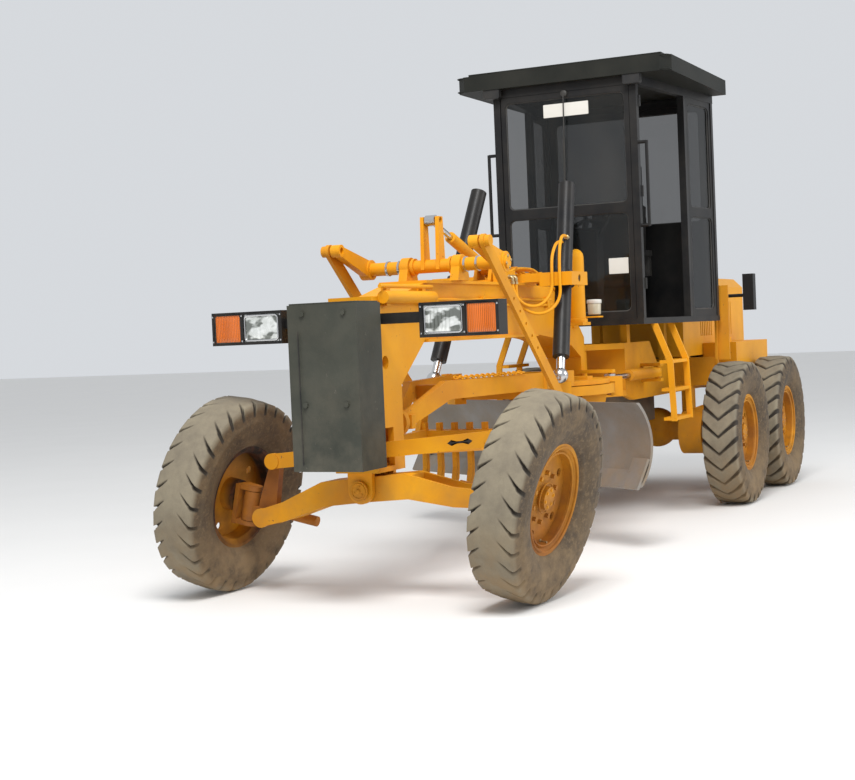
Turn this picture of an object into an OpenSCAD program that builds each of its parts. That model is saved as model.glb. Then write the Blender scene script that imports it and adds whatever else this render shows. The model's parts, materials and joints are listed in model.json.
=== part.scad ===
// Motor grader with leaning front wheels, a centre scarifier and an open-sided cab.
// +X points to the nose, +Y to the machine's left, +Z up. All lengths are millimetres.

/* [Machine] */
// Front axle line ahead of the machine's middle
front_axle_x = 3550; // [3300:10:3800]
// Tandem pivot line, measured from the machine's middle
tandem_x = -2370; // [-2500:10:-2250]
// Distance between the two wheels of a tandem
tandem_gap = 1540; // [1450:10:1650]
// Rear track, between tyre centres
rear_track = 1960; // [1850:10:2100]
// Half the distance between the wheel lean pins
lean_pin_y = 780; // [740:5:820]
// Distance from a lean pin to the wheel's middle plane
wheel_offset = 322; // [300:2:350]
// Height of a wheel's centre over its lean pin when upright
wheel_rise = 80; // [60:5:100]
// Lean of both front wheels, tops towards the left
lean = 12; // [4:1:14]
// Steering angle as parked, towards the right
steer = 3; // [0:1:5]

/* [Wheels] */
// Outer diameter of a tyre
tyre_d = 1280; // [1200:10:1340]
// Width of a tyre
tyre_w = 330; // [300:5:360]
// Radius of the rim's flange
rim_r = 335; // [320:5:350]
// Depth of a rear tread bar
lug_h = 28; // [20:1:34]
// Number of tread bars on each side of a rear tyre
lug_count = 18; // [16:1:24]
// Number of shoulder bars on each side of a front tyre
shoulder_count = 30; // [24:1:36]
// Number of wheel nuts
nut_count = 10; // [8:1:12]

/* [Front frame] */
// Width of the gooseneck beam
neck_w = 300; // [260:10:340]
// Height of the gooseneck's top face
neck_top = 1980; // [1940:10:2020]
// Depth of the gooseneck beam
neck_h = 370; // [340:10:400]
// Thickness of the frame's side plates
plate_t = 40; // [30:5:50]
// Distance from the front axle back to the articulation pin
hinge_back = 3660; // [3600:10:3720]
// Width of the dark box on the nose
box_w = 470; // [430:10:520]
// Height of the dark box
box_h = 1000; // [940:10:1040]
// Depth of the dark box
box_d = 310; // [280:10:330]
// Distance between the outer ends of the lamps
lamp_span = 2000; // [1900:20:2100]
// Height of a lamp housing
lamp_h = 210; // [190:5:230]

/* [Blade] */
// Length of the moldboard
blade_len = 2900; // [2800:20:3000]
// Height of the moldboard
blade_h = 610; // [560:10:660]
// Angle of the moldboard to the axles, left end forward
blade_turn = 30; // [20:1:35]
// Side shift of the moldboard towards the right
blade_shift = 180; // [150:10:300]
// Thickness of the moldboard's plate
blade_t = 22; // [18:1:30]
// Outer radius of the toothed circle
circle_r = 640; // [600:5:660]
// Height of the circle's lower face
circle_z = 1130; // [1120:5:1160]
// Distance from the front axle back to the circle's centre
circle_back = 2720; // [2680:10:2780]

/* [Scarifier] */
// Number of tines
tine_count = 9; // [7:2:11]
// Width of the tine block
tine_block_w = 1120; // [1000:20:1180]
// Length of a lift arm on the cross tube
lift_arm = 440; // [420:5:460]

/* [Cab] */
// Width of the cab at its front
cab_front_w = 1260; // [1200:10:1320]
// Width of the cab at its rear
cab_rear_w = 1640; // [1560:10:1700]
// Length of the cab
cab_len = 1660; // [1600:10:1700]
// Height of the cab's floor
cab_floor = 1700; // [1690:5:1720]
// Height of the roof slab's underside
roof_z = 3690; // [3640:10:3720]
// Thickness of the roof slab
roof_t = 160; // [140:5:180]
// Width of the roof slab
roof_w = 1890; // [1840:10:1940]
// Size of a cab post
post = 60; // [50:2:70]

/* [Rear] */
// Length from the tandem pivot to the machine's tail
tail_len = 1750; // [1700:10:1850]
// Width of the engine hood
hood_w = 900; // [860:10:940]
// Height of the hood's top
hood_top = 2080; // [2040:10:2120]
// Wall of the hood and its doors
sheet = 20; // [16:1:24]
// Number of louvres in an engine door
louvres = 7; // [5:1:9]

/* [Hidden] */
$fn = 48;
// Running gap between a pin and its eye, and the gap between faces that move past each other
fit = 0.8;
gap = 6;
// Seat gap between pieces that only touch
seat = 0.3;
// Small overlap that fuses solids of one node
bite = 2;

yellow = [0.93, 0.60, 0.06];
shade = [0.85, 0.50, 0.06];
black = [0.10, 0.10, 0.10];
rubber = [0.36, 0.33, 0.30];
steel = [0.55, 0.54, 0.52];
olive = [0.27, 0.27, 0.22];
glass = [0.75, 0.80, 0.80, 0.5];
amber = [0.85, 0.35, 0.08];

tyre_r = tyre_d / 2;
fa = front_axle_x;
hinge_x = fa - hinge_back;
circle_x = fa - circle_back;
cab_x = hinge_x + 5;
cab_back = cab_x - cab_len;
tail_x = tandem_x - tail_len;
rear_y = rear_track / 2;

// The axle beam tips until both leaning wheels stand on the ground
axle_tip = asin(wheel_offset * sin(lean) / lean_pin_y);
tread_half = 0.36 * tyre_w;
wheel_z = tyre_r * cos(lean) + tread_half * sin(lean);
axle_z = wheel_z - wheel_rise * cos(lean);

// Side s is 1 on the left and -1 on the right
function pin_y(s) = s * lean_pin_y * cos(axle_tip);
function pin_z(s) = axle_z + s * lean_pin_y * sin(axle_tip);
function turned(s, y, z) = [
    fa,
    pin_y(s) + y * cos(lean) + z * sin(lean),
    pin_z(s) - y * sin(lean) + z * cos(lean)
];
king_y = 150;

// Straight round bar from a to b
module rod(a, b, r) {
    d = b - a;
    translate(a)
        rotate([0, acos(d[2] / norm(d)), atan2(d[1], d[0])])
            cylinder(h = norm(d), r = r);
}

// Round bar with a hole along it
module tube(a, b, r, bore) {
    d = b - a;
    translate(a)
        rotate([0, acos(d[2] / norm(d)), atan2(d[1], d[0])])
            difference() {
                cylinder(h = norm(d), r = r);
                translate([0, 0, -1]) cylinder(h = norm(d) + 2, r = bore);
            }
}

// Plate cut to an outline in X and Z, from y to y + t
module side_plate(outline, y, t) {
    translate([0, y + t, 0]) rotate([90, 0, 0]) linear_extrude(t) polygon(outline);
}

// Plate cut to an outline in X and Y, from z to z + t
module flat_plate(outline, z, t) {
    translate([0, 0, z]) linear_extrude(t) polygon(outline);
}

// Cylinder across the machine, from y to y + w
module cross_bar(x, y, z, w, r) {
    translate([x, y + w, z]) rotate([90, 0, 0]) cylinder(h = w, r = r);
}

module both_sides() {
    children();
    mirror([0, 1, 0]) children();
}

// Moves a front wheel's own parts, drawn upright round the origin, to side s as parked
module at_wheel(s) {
    at_yoke(s) translate([0, s * king_y, 0]) rotate([0, 0, -steer])
        translate([0, s * (wheel_offset - king_y), wheel_rise]) children();
}

// Moves parts drawn round an upright lean pin to side s as parked
module at_yoke(s) {
    translate([fa, pin_y(s), pin_z(s)]) rotate([-lean, 0, 0]) children();
}

// Half section of a tyre: radius and share of the width, from bead round the wall to the tread
tyre_section = [
    [rim_r - 12 + seat, 0.28], [rim_r + 9, 0.28], [rim_r + 9, 0.36], [rim_r + 40, 0.45],
    [rim_r + 110, 0.50], [rim_r + 180, 0.48], [tyre_r - 70, 0.45], [tyre_r - 22, 0.42],
    [tyre_r, 0.32]
];

tyre_sides = 32;

// Tyre round the Y axis, its tread face lowered by depth to leave room for bars
module tyre_body(depth) {
    half = [for (p = tyre_section) [min(p[0], tyre_r - depth), p[1] * tyre_w]];
    other = [for (i = [len(half) - 1:-1:0]) [half[i][0], -half[i][1]]];
    rotate([90, 0, 0]) rotate_extrude($fn = tyre_sides) polygon(concat(half, other));
}

// Tread bars over half of a rear tyre, leaning back towards the shoulder
module tread_bars() {
    step = 360 / lug_count;
    low = tyre_r - lug_h - 8;
    // Share of a step and radius of each corner of a bar
    bar = [[0.06, low], [0.14, tyre_r], [0.46, tyre_r], [0.56, low]];
    rotate([-90, 0, 0]) translate([0, 0, 4])
        linear_extrude(0.43 * tyre_w, twist = 0.9 * step, slices = 1, scale = 0.972)
            difference() {
                polygon([
                    for (i = [0:lug_count - 1], c = bar)
                        let (a = (i + c[0]) * step) [c[1] * cos(a), c[1] * sin(a)]
                ]);
                circle(r = low - 60, $fn = 24);
            }
}

// Rear tyre: a smooth body below two rows of bars that meet in a V
module lugged_tyre() {
    tyre_body(lug_h);
    tread_bars();
    rotate([0, 180 / lug_count, 0]) mirror([0, 1, 0]) tread_bars();
}

// Rim channel between the beads: radius and share of the width
rim_section = [
    [rim_r - 12, 0.29], [rim_r + 6, 0.29], [rim_r + 6, 0.335], [rim_r - 14, 0.335],
    [rim_r - 44, 0.24], [rim_r - 44, -0.24], [rim_r - 14, -0.335], [rim_r + 6, -0.335],
    [rim_r + 6, -0.29], [rim_r - 12, -0.29]
];
disc_depth = 30;
disc_t = 14;
nut_circle = 150;
hub_r = 105;
spindle_r = 48;
hub_in = 68;
cap_out = 76;

// Dished rim with its hub, outer side towards +Y for s = 1
module rim_body(s) {
    hand_holes = 5;
    rotate([90, 0, 0])
        rotate_extrude($fn = 64)
            polygon([for (p = rim_section) [p[0], p[1] * tyre_w]]);
    rotate([-90 * s, 0, 0])
        difference() {
            union() {
                translate([0, 0, disc_depth - disc_t]) cylinder(h = disc_t, r = rim_r - 43);
                translate([0, 0, -hub_in]) cylinder(h = hub_in + disc_depth, r = hub_r);
                cylinder(h = cap_out, r = 72);
                for (i = [0:nut_count - 1])
                    rotate([0, 0, (i + 0.5) * 360 / nut_count])
                        translate([nut_circle, 0, disc_depth - 1])
                            cylinder(h = 24, r = 15, $fn = 6);
            }
            translate([0, 0, -hub_in - 1])
                cylinder(h = hub_in + disc_depth + 20, r = spindle_r + fit);
            for (i = [0:hand_holes - 1])
                rotate([0, 0, i * 360 / hand_holes])
                    translate([232, 0, 0]) cylinder(h = 60, r = 27);
        }
}

// Leaning front axle: the beam, the yokes on its ends, and what turns on them
axle_half_d = 120;
axle_plate = 30;
axle_rise = 120;
lean_pin_r = 32;
king_r = 30;
lever_y = 0;
lever_z = 370;
lever_half = 28;
lever_pin_r = 22;
ear_top = 141;
ear_low = -61;
ear_t = 30;
arm_end = [-165, 65];
steer_bar_x = -166;
steer_z = 0;

// Upper and lower edge of the axle beam: distance from the middle, middle height, half height
beam_edges = [[0, axle_rise, 78], [300, axle_rise - 4, 78], [600, 28, 62], [lean_pin_y, 0, 55]];

module at_axle() {
    translate([fa, 0, axle_z]) rotate([axle_tip, 0, 0]) children();
}

module front_axle() {
    top = [for (e = beam_edges) [e[0], e[1] + e[2]]];
    low = [for (i = [len(beam_edges) - 1:-1:0])
        [beam_edges[i][0], beam_edges[i][1] - beam_edges[i][2]]];
    inner = axle_half_d - axle_plate;
    color(yellow) at_axle() {
        difference() {
            union() {
                both_sides()
                    translate([-axle_half_d, 0, 0])
                        rotate([90, 0, 90]) linear_extrude(2 * axle_half_d) polygon(concat(top, low));
                both_sides()
                    translate([-axle_half_d, lean_pin_y, 0])
                        rotate([0, 90, 0]) cylinder(h = 2 * axle_half_d, r = 62);
            }
            both_sides()
                translate([-inner, 560, -150]) cube([2 * inner, 400, 400]);
            both_sides()
                translate([-inner, 330, 30]) cube([2 * inner, 300, 400]);
        }
        both_sides()
            translate([-inner - bite, lean_pin_y, 0])
                rotate([0, 90, 0]) cylinder(h = 2 * (inner + bite), r = lean_pin_r);
        axle_pin();
    }
}

axle_pin_r = 45;
axle_pin_front = 178;

// Pin on which the axle rocks under the nose, with its round keeper plate
module axle_pin() {
    translate([0, 0, axle_rise]) rotate([0, 90, 0]) {
        translate([0, 0, -axle_pin_front]) cylinder(h = 2 * axle_pin_front, r = axle_pin_r);
        translate([0, 0, axle_pin_front]) cylinder(h = 14, r = 62);
    }
}

// Yoke that leans on the axle's end and holds the kingpin, for side s
module lean_yoke(s) {
    inner = axle_half_d - axle_plate - 4;
    color(yellow) at_yoke(s) {
        difference() {
            union() {
                translate([-inner, 0, 0]) rotate([0, 90, 0]) cylinder(h = 2 * inner, r = 60);
                translate([0, s * king_y, ear_low + 4])
                    cylinder(h = ear_top - ear_low - 8, r = 56);
                translate([-45, min(0, s * king_y), -45]) cube([90, king_y, 90]);
                rotate([90, 0, 90])
                    translate([0, 0, -lever_half])
                        linear_extrude(2 * lever_half)
                            polygon([[-s * 58, 0], [s * 75, 0], [s * 75, 90],
                                [s * (lever_y + 34), lever_z], [s * (lever_y - 34), lever_z]]);
                translate([-lever_half, s * lever_y, lever_z])
                    rotate([0, 90, 0]) cylinder(h = 2 * lever_half, r = 40);
                translate([steer_bar_x - 20, s > 0 ? 66 : -90, steer_z - 30])
                    cube([-steer_bar_x, 24, 60]);
            }
            translate([-200, 0, 0]) rotate([0, 90, 0]) cylinder(h = 400, r = lean_pin_r + fit);
            translate([0, s * king_y, -200]) cylinder(h = 400, r = king_r + fit);
            translate([-200, s * lever_y, lever_z])
                rotate([0, 90, 0]) cylinder(h = 400, r = lever_pin_r + fit);
            translate([steer_bar_x, s * 50, steer_z])
                rotate([-90 * s, 0, 0]) cylinder(h = 60, r = steer_rod_r + fit);
        }
        tube([steer_bar_x, s * 68, steer_z], [steer_bar_x, -s * 250, steer_z], 34, steer_rod_r + fit);
        translate([steer_bar_x, -s * 248, steer_z])
            rotate([90 * s, 0, 0]) cylinder(h = 16, r = 34);
    }
}

steer_rod_r = 17;

// Rod of the steering cylinder: its eye lies over the knuckle's arm
module steer_rod(s) {
    eye_y = s * (king_y + arm_end[1]);
    color(steel) at_yoke(s) {
        rod([steer_bar_x, -s * 130, steer_z], [steer_bar_x, eye_y - s * 20, steer_z], steer_rod_r);
        translate([steer_bar_x, eye_y, steer_z - 20]) cylinder(h = 40, r = 28);
    }
}

// Knuckle on the kingpin, with the spindle that carries the wheel
module knuckle(s) {
    color(shade) at_yoke(s) translate([0, s * king_y, 0]) rotate([0, 0, -steer]) {
        far = wheel_offset - king_y;
        wall = far - hub_in - 38;
        for (z = [ear_top, ear_low - ear_t])
            translate([0, 0, z]) {
                cylinder(h = ear_t, r = 58);
                translate([-58, s > 0 ? 0 : -wall - 5, 0]) cube([116, wall + 5, ear_t]);
            }
        translate([-70, s > 0 ? wall : -wall - 30, ear_low - ear_t])
            cube([140, 30, ear_top - ear_low + 2 * ear_t]);
        translate([0, 0, ear_low - ear_t]) cylinder(h = ear_top - ear_low + 2 * ear_t, r = king_r);
        translate([0, s * (wall + 25), wheel_rise])
            rotate([-90 * s, 0, 0]) cylinder(h = far - wall - 25 + disc_depth + 12, r = spindle_r);
        translate([0, 0, ear_low - ear_t])
            linear_extrude(ear_t)
                polygon([[0, -s * 55], [0, s * 55], [arm_end[0], s * (arm_end[1] + 30)],
                    [arm_end[0], s * (arm_end[1] - 30)]]);
        translate([arm_end[0], s * arm_end[1], ear_low - ear_t]) cylinder(h = 64, r = 30);
    }
}

// Bar that ties the two lean levers, with a pin into each
module lean_bar() {
    function pin(s) = [
        fa,
        pin_y(s) + s * lever_y * cos(lean) + lever_z * sin(lean),
        pin_z(s) - s * lever_y * sin(lean) + lever_z * cos(lean)
    ];
    front = lever_half + 5;
    a = pin(-1);
    b = pin(1);
    tip = asin((b[2] - a[2]) / norm(b - a));
    color(yellow) {
        translate(a) rotate([tip, 0, 0])
            translate([front, 0, -48]) cube([40, norm(b - a), 96]);
        for (p = [a, b])
            translate([p[0] - lever_half - 10, p[1], p[2]]) rotate([0, 90, 0]) {
                cylinder(h = 2 * lever_half + 30, r = lever_pin_r);
                translate([0, 0, lever_half + 10 + front]) cylinder(h = 48, r = 52);
            }
    }
}

module front_rim(s) {
    color(yellow) at_wheel(s) rim_body(s);
}

module front_tyre(s) {
    color(rubber) at_wheel(s) tyre_body(0);
}

// Front frame: the nose over the axle, the gooseneck and its hinge end
nose_front = fa + 215;
nose_back = fa - 150;
nose_top = 1890;
nose_low = 805;
neck_low = neck_top - neck_h;
neck_front = fa - 520;
neck_bend = fa - 2450;
hinge_top = 1440;
hinge_low = 1100;
hinge_r = 110;
hinge_pin_r = 60;
hinge_face = hinge_x + 135;
lug_front = axle_half_d + gap;
ball_x = fa - 330;
ball_z = 1080;
ball_r = 70;

module front_frame() {
    color(yellow) {
        difference() {
            union() {
                // Closed box beam over the blade, its rear leg down to the hinge
                side_plate([
                    [nose_back + 20, nose_top], [neck_front, neck_top], [neck_bend - 350, neck_top],
                    [hinge_face + 90, 1640], [hinge_face, 1560], [hinge_face, 1030],
                    [hinge_face + 90, 1030], [hinge_face + 90, 1400], [hinge_face + 300, 1500],
                    [neck_bend - 400, 1570], [neck_bend, neck_low], [neck_front, neck_low],
                    [nose_back + 20, 1320]
                ], -neck_w / 2, neck_w);
                // Side cheeks of the nose
                for (y = [-neck_w / 2, neck_w / 2 - plate_t])
                    side_plate([
                        [nose_front, nose_low], [nose_front, nose_top], [nose_back, nose_top],
                        [nose_back, nose_low]
                    ], y, plate_t);
                translate([nose_front - plate_t, -neck_w / 2, nose_low])
                    cube([plate_t, neck_w, nose_top - nose_low]);
                translate([nose_back, -neck_w / 2, nose_low])
                    cube([nose_front - nose_back, neck_w, plate_t]);
                // Tongue of the articulation
                translate([hinge_x, 0, hinge_low]) cylinder(h = hinge_top - hinge_low, r = hinge_r);
                translate([hinge_x, -hinge_r, hinge_low])
                    cube([hinge_face - hinge_x + 10, 2 * hinge_r, hinge_top - hinge_low]);
                // Socket block of the drawbar's ball
                translate([nose_back - 70, -90, ball_z - 75]) cube([100, 180, 150]);
                rod([nose_back - 60, 0, ball_z], [ball_x + ball_r - 8, 0, ball_z], 42);
                translate([ball_x, 0, ball_z]) sphere(r = ball_r - fit);
            }
            // Opening for the lean bar and the hollow behind it
            translate([fa - 10, -neck_w, 835]) cube([128, 2 * neck_w, 240]);
            translate([hinge_x, 0, 0]) cylinder(h = 3000, r = hinge_pin_r + fit);
            // Round hand hole in each cheek
            translate([fa + 60, 0, 1480]) rotate([90, 0, 0])
                cylinder(h = 2 * neck_w, r = 42, center = true);
        }
        scar_mount();
        artic_horns();
        neck_pipes();
        nose_cylinder();
        neck_post();
        hose_valve();
        // Flanges of the box beam
        for (z = [neck_top - bite, neck_low - 18])
            translate([neck_bend, -neck_w / 2 - 25, z])
                cube([neck_front - neck_bend, neck_w + 50, 20]);
        // Lugs that hold the axle's pin
        for (x = [fa + lug_front, fa - lug_front - plate_t])
            difference() {
                translate([x, 0, 0]) rotate([90, 0, 90]) linear_extrude(plate_t)
                    union() {
                        translate([pin_shift_y, axle_pin_z]) circle(r = 85);
                        translate([pin_shift_y - 85, axle_pin_z]) square([170, 135]);
                        translate([-neck_w / 2 + 10, nose_low]) square([neck_w - 20, 60]);
                    }
                at_axle() translate([-400, 0, axle_rise])
                    rotate([0, 90, 0]) cylinder(h = 800, r = axle_pin_r + fit);
            }
    }
}

pipe_r = 11;
pipe_y = neck_w / 2 + 16;

// Hydraulic pipes along both sides of the gooseneck, held by clips
module neck_pipes() {
    both_sides() {
        for (z = [neck_top - 110, neck_top - 150])
            rod([neck_bend - 300, pipe_y, z], [neck_front - 60, pipe_y, z], pipe_r);
        for (x = [neck_bend - 240, neck_bend + 320, neck_bend + 1000, neck_front - 160])
            translate([x, neck_w / 2 - bite, neck_top - 172]) cube([34, 34, 84]);
    }
}

// Cylinder and its thin rod lying along the upper left edge of the nose
module nose_cylinder() {
    y = neck_w / 2 + 36;
    rod([nose_front - 90, y, nose_top - 6], [neck_front - 60, y, nose_top - 6], 40);
    rod([nose_front - 60, y - 4, nose_top + 62], [neck_front - 60, y - 4, nose_top + 62], 13);
    for (x = [nose_front - 190, neck_front + 40])
        translate([x, neck_w / 2 - bite, nose_top - 60]) cube([52, 40, 130]);
}

post_x = hinge_x + 660;
post_y = 300;
post_r = 60;

// Round-topped valve post on a shelf at the neck's left side
module neck_post() {
    shelf_z = 1660;
    translate([post_x - 90, neck_w / 2 - 60, shelf_z]) cube([180, post_y - neck_w / 2 + 130, 24]);
    translate([post_x, post_y, shelf_z + 20]) rotate_extrude()
        polygon([[0, 0], [post_r + 14, 0], [post_r + 14, 30], [post_r, 36], [post_r, 520], [54, 548],
            [38, 570], [18, 582], [0, 585]]);
}

hose_r = 11;
hose_z = neck_top + 54;
valve_y = neck_w / 2 + 84;
// Where each hose starts at the valve and where it turns up before the lift cylinder
hose_runs = [[fa - 1834, fa - 2126, 430], [fa - 1900, fa - 2126, 490]];

// Valve block on the gooseneck with an outlet for each hose
module hose_valve() {
    translate([fa - 1960, 105, neck_top + 10]) cube([180, 100, 90]);
    for (h = hose_runs)
        rod([h[0], 200, hose_z], [h[0], valve_y - 22 - seat, hose_z], 15);
}

// Hoses hanging in a loop from the valve and rising before the left lift cylinder
module neck_hoses() {
    color(yellow)
        for (i = [0, 1]) {
            h = hose_runs[i];
            low = hose_z - 45 - 60 * i;
            side = [h[1] - h[0], h[2] - valve_y];
            half = norm(side) / 2;
            translate([h[0], valve_y, low - 4]) cylinder(h = hose_z - low + 10, r = hose_r + 2);
            translate([h[0], valve_y, hose_z]) rotate([90, 0, 0])
                cylinder(h = 22, r = hose_r + 3);
            translate([(h[0] + h[1]) / 2, (valve_y + h[2]) / 2, low])
                rotate([0, 0, atan2(side[1], side[0])]) rotate([-90, 0, 0])
                    rotate_extrude(angle = 180) translate([half, 0]) circle(r = hose_r);
            translate([h[1], h[2], low - 4]) cylinder(h = hose_z + 60 - low, r = hose_r + 2);
            rod([h[1], h[2], hose_z + 52], [fa - 2325, h[2] - 14, hose_z + 216], hose_r + 1);
        }
}

pin_shift_y = -axle_rise * sin(axle_tip);
axle_pin_z = axle_z + axle_rise * cos(axle_tip);

box_z = 850;
box_x = nose_front + 48;

// Dark closed box hung in front of the nose, with its four bolt heads
module nose_box() {
    bolt_x = box_w / 2 - 105;
    color(olive) {
        translate([box_x, -box_w / 2, box_z]) cube([box_d, box_w, box_h]);
        translate([box_x + 10, -box_w / 2 + 10, box_z + box_h - bite])
            cube([box_d - 20, box_w - 20, 12]);
        for (y = [-bolt_x, bolt_x + 20], z = [box_z + 400, box_z + box_h - 55])
            translate([box_x + box_d - 1, y, z])
                rotate([0, 90, 0]) cylinder(h = 14, r = 17, $fn = 6);
        for (z = [box_z + 160, box_z + box_h - 260])
            translate([nose_front + seat, -110, z]) cube([box_x - nose_front, 220, 90]);
    }
}

lamp_x = fa + 170;
lamp_z = 1730;
lamp_w = 520;
lamp_d = 130;
bar_h = 66;

// Flat bar across the nose that carries both lamp housings
module lamp_bar() {
    half = lamp_span / 2 - lamp_w + 6;
    for (s = [-1, 1])
        translate([lamp_x - 18, s > 0 ? neck_w / 2 + seat : -half, lamp_z - bar_h / 2 + 20])
            cube([36, half - neck_w / 2 - seat, bar_h]);
}

// Open-fronted housings, each with a square headlamp recess and an indicator recess
module lamp_housings() {
    inner = lamp_span / 2 - lamp_w;
    color(black) {
        both_sides() difference() {
            translate([lamp_x - lamp_d / 2, inner, lamp_z - lamp_h / 2]) cube([lamp_d, lamp_w, lamp_h]);
            translate([lamp_x - lamp_d / 2 + 40, inner + 25, lamp_z - lamp_h / 2 + 18])
                cube([lamp_d, 260, lamp_h - 36]);
            translate([lamp_x - lamp_d / 2 + 40, inner + 305, lamp_z - lamp_h / 2 + 12])
                cube([lamp_d, 200, lamp_h - 24]);
        }
        lamp_bar();
    }
}

module lamp_lens(y, w, edge) {
    x = lamp_x - lamp_d / 2 + 40 + seat;
    translate([x, y + seat, lamp_z - lamp_h / 2 + edge + seat])
        cube([lamp_d - 52, w - 2 * seat, lamp_h - 2 * edge - 2 * seat]);
}

module headlamps() {
    color(glass) both_sides() lamp_lens(lamp_span / 2 - lamp_w + 25, 260, 18);
}

module indicators() {
    color(amber) both_sides() lamp_lens(lamp_span / 2 - lamp_w + 305, 200, 12);
}

// Blade gear: saddle, lift cylinders, drawbar, circle and moldboard
lift_eye = [fa - 2000, 512, 1300];
trunnion = [fa - 2330, 442, 2012];
lift_r = 62;
lift_rod_r = 32;
lift_out = 150;
lift_len = 1600;
collar_r = 84;
trunnion_r = 28;
cap_r = 58;
eye_dir = (lift_eye - trunnion) / norm(lift_eye - trunnion);
flange_top = neck_top + 18;

// Point on a lift cylinder's line, measured up from its eye
function on_lift(up) = lift_eye - eye_dir * up;

// Yoke across the gooseneck in which both lift cylinders swing
module lift_saddle() {
    inner = 94;
    outer = 128;
    long = 134;
    color(yellow) {
        translate([trunnion[0] - 120, -trunnion[1] + outer - 4, flange_top + seat])
            cube([240, 2 * (trunnion[1] - outer + 4), 64]);
        both_sides() translate(trunnion) difference() {
            translate([-long - 34, -outer, -50]) cube([2 * long + 68, 2 * outer, 100]);
            translate([-long, -inner, -60]) cube([2 * long, 2 * inner, 120]);
            rotate([90, 0, 0]) cylinder(h = 400, r = trunnion_r + fit, center = true);
        }
    }
}

module lift_barrel(s) {
    color(black) mirror([0, s < 0 ? 1 : 0, 0]) {
        tube(on_lift(lift_out), on_lift(lift_len), lift_r, lift_rod_r + fit);
        rod(on_lift(lift_len - 30), on_lift(lift_len), lift_r);
        tube(on_lift(norm(lift_eye - trunnion) - 46), on_lift(norm(lift_eye - trunnion) + 46),
            collar_r, lift_r - 1);
        translate(trunnion) difference() {
            rotate([90, 0, 0]) cylinder(h = 2 * 120, r = trunnion_r, center = true);
            rotate([90, 0, 0]) cylinder(h = 2 * 64, r = trunnion_r + 2, center = true);
        }
    }
}

module lift_rod(s) {
    color(steel) mirror([0, s < 0 ? 1 : 0, 0]) {
        rod(on_lift(20), on_lift(lift_len - 500), lift_rod_r);
        translate(lift_eye) sphere(r = cap_r);
    }
}

// A-shaped drawbar: ball socket, two arms and the ring plate over the circle
bar_low = circle_z + 76;
bar_h2 = 120;
arm_y0 = 45;
arm_y1 = 465;
arm_back = fa - 2350;
arm_front = ball_x - 60;
drawbar_t = 50;
arm_slope = (arm_y1 - arm_y0) / (arm_front - arm_back);

module drawbar_arm() {
    run = arm_front - arm_back;
    turn = atan2(arm_y1 - arm_y0, run);
    long = norm([run, arm_y1 - arm_y0]);
    translate([arm_front, arm_y0, 0]) rotate([0, 0, -turn])
        side_plate([
            [30, ball_z - 50], [30, ball_z + 52], [-420, bar_low + bar_h2], [-long, bar_low + bar_h2],
            [-long, bar_low], [-470, bar_low - 6]
        ], -drawbar_t / 2, drawbar_t);
}

module drawbar() {
    color(shade) {
        // Arms that meet in the ball's socket
        difference() {
            union() {
                both_sides() drawbar_arm();
                translate([arm_front - 60, -90, ball_z - 46]) cube([60, 180, 92]);
                difference() {
                    translate([ball_x, 0, ball_z]) sphere(r = ball_r + 26);
                    translate([ball_x + 22, -200, ball_z - 200]) cube([400, 400, 400]);
                }
            }
            translate([ball_x, 0, ball_z]) sphere(r = ball_r);
        }
        for (x = [arm_front - 620, arm_back + 260])
            translate([x, -arm_y0 - (arm_front - x) * arm_slope, bar_low])
                cube([90, 2 * arm_y0 + 2 * (arm_front - x) * arm_slope, bar_h2 - 30]);
        // Ring plate
        translate([circle_x, 0, bar_low]) difference() {
            cylinder(h = 34, r = circle_r - 35);
            translate([0, 0, -1]) cylinder(h = 36, r = circle_r - 220);
        }
        translate([circle_x - 60, -480, bar_low]) cube([120, 960, 60]);
        // Guide shoes that hold the circle from outside and below
        for (a = [40, 125, 235, 320])
            translate([circle_x, 0, 0]) rotate([0, 0, a]) {
                translate([circle_r - 50, -70, bar_low]) cube([122, 140, 40]);
                translate([circle_r + 8, -70, circle_z - 34]) cube([64, 140, bar_low - circle_z + 60]);
                translate([circle_r - 24, -70, circle_z - 34]) cube([50, 140, 34 - seat]);
            }
        // Studs towards the lift rods' ball caps
        both_sides()
            translate([lift_eye[0], lift_eye[1] - cap_r - 34, lift_eye[2]])
                rotate([-90, 0, 0]) cylinder(h = 23, r = 26);
        both_sides()
            translate([lift_eye[0] - 50, lift_eye[1] - cap_r - 74, bar_low])
                cube([100, 46, 130]);
    }
}

ring_in = circle_r - 130;
ring_teeth = 56;

// Toothed ring: inner teeth of short trapezoids
function ring_edge(n, low, high) = [
    for (i = [0:n - 1], k = [[0.05, low], [0.32, high], [0.60, high], [0.87, low]])
        let (a = (i + k[0]) * 360 / n) [k[1] * cos(a), k[1] * sin(a)]
];

blade_mid = circle_z - 44 - blade_h / 2;
bow_r = 430;
blade_x = 60;
bow_x = blade_x + sqrt(bow_r * bow_r - blade_h * blade_h / 4);
rail_z = 150;
rail_h = 44;
rail_back = -134;
arm_y = 430;

module at_blade() {
    translate([circle_x, 0, 0]) rotate([0, 0, -blade_turn]) children();
}

module circle_ring() {
    color(shade) translate([circle_x, 0, circle_z]) rotate([0, 0, -blade_turn])
        difference() {
            cylinder(h = 70, r = circle_r, $fn = 96);
            translate([0, 0, -1]) linear_extrude(72) polygon(ring_edge(ring_teeth, ring_in, ring_in - 26));
        }
}

shift_x = -160;
shift_rod_r = 22;

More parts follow.
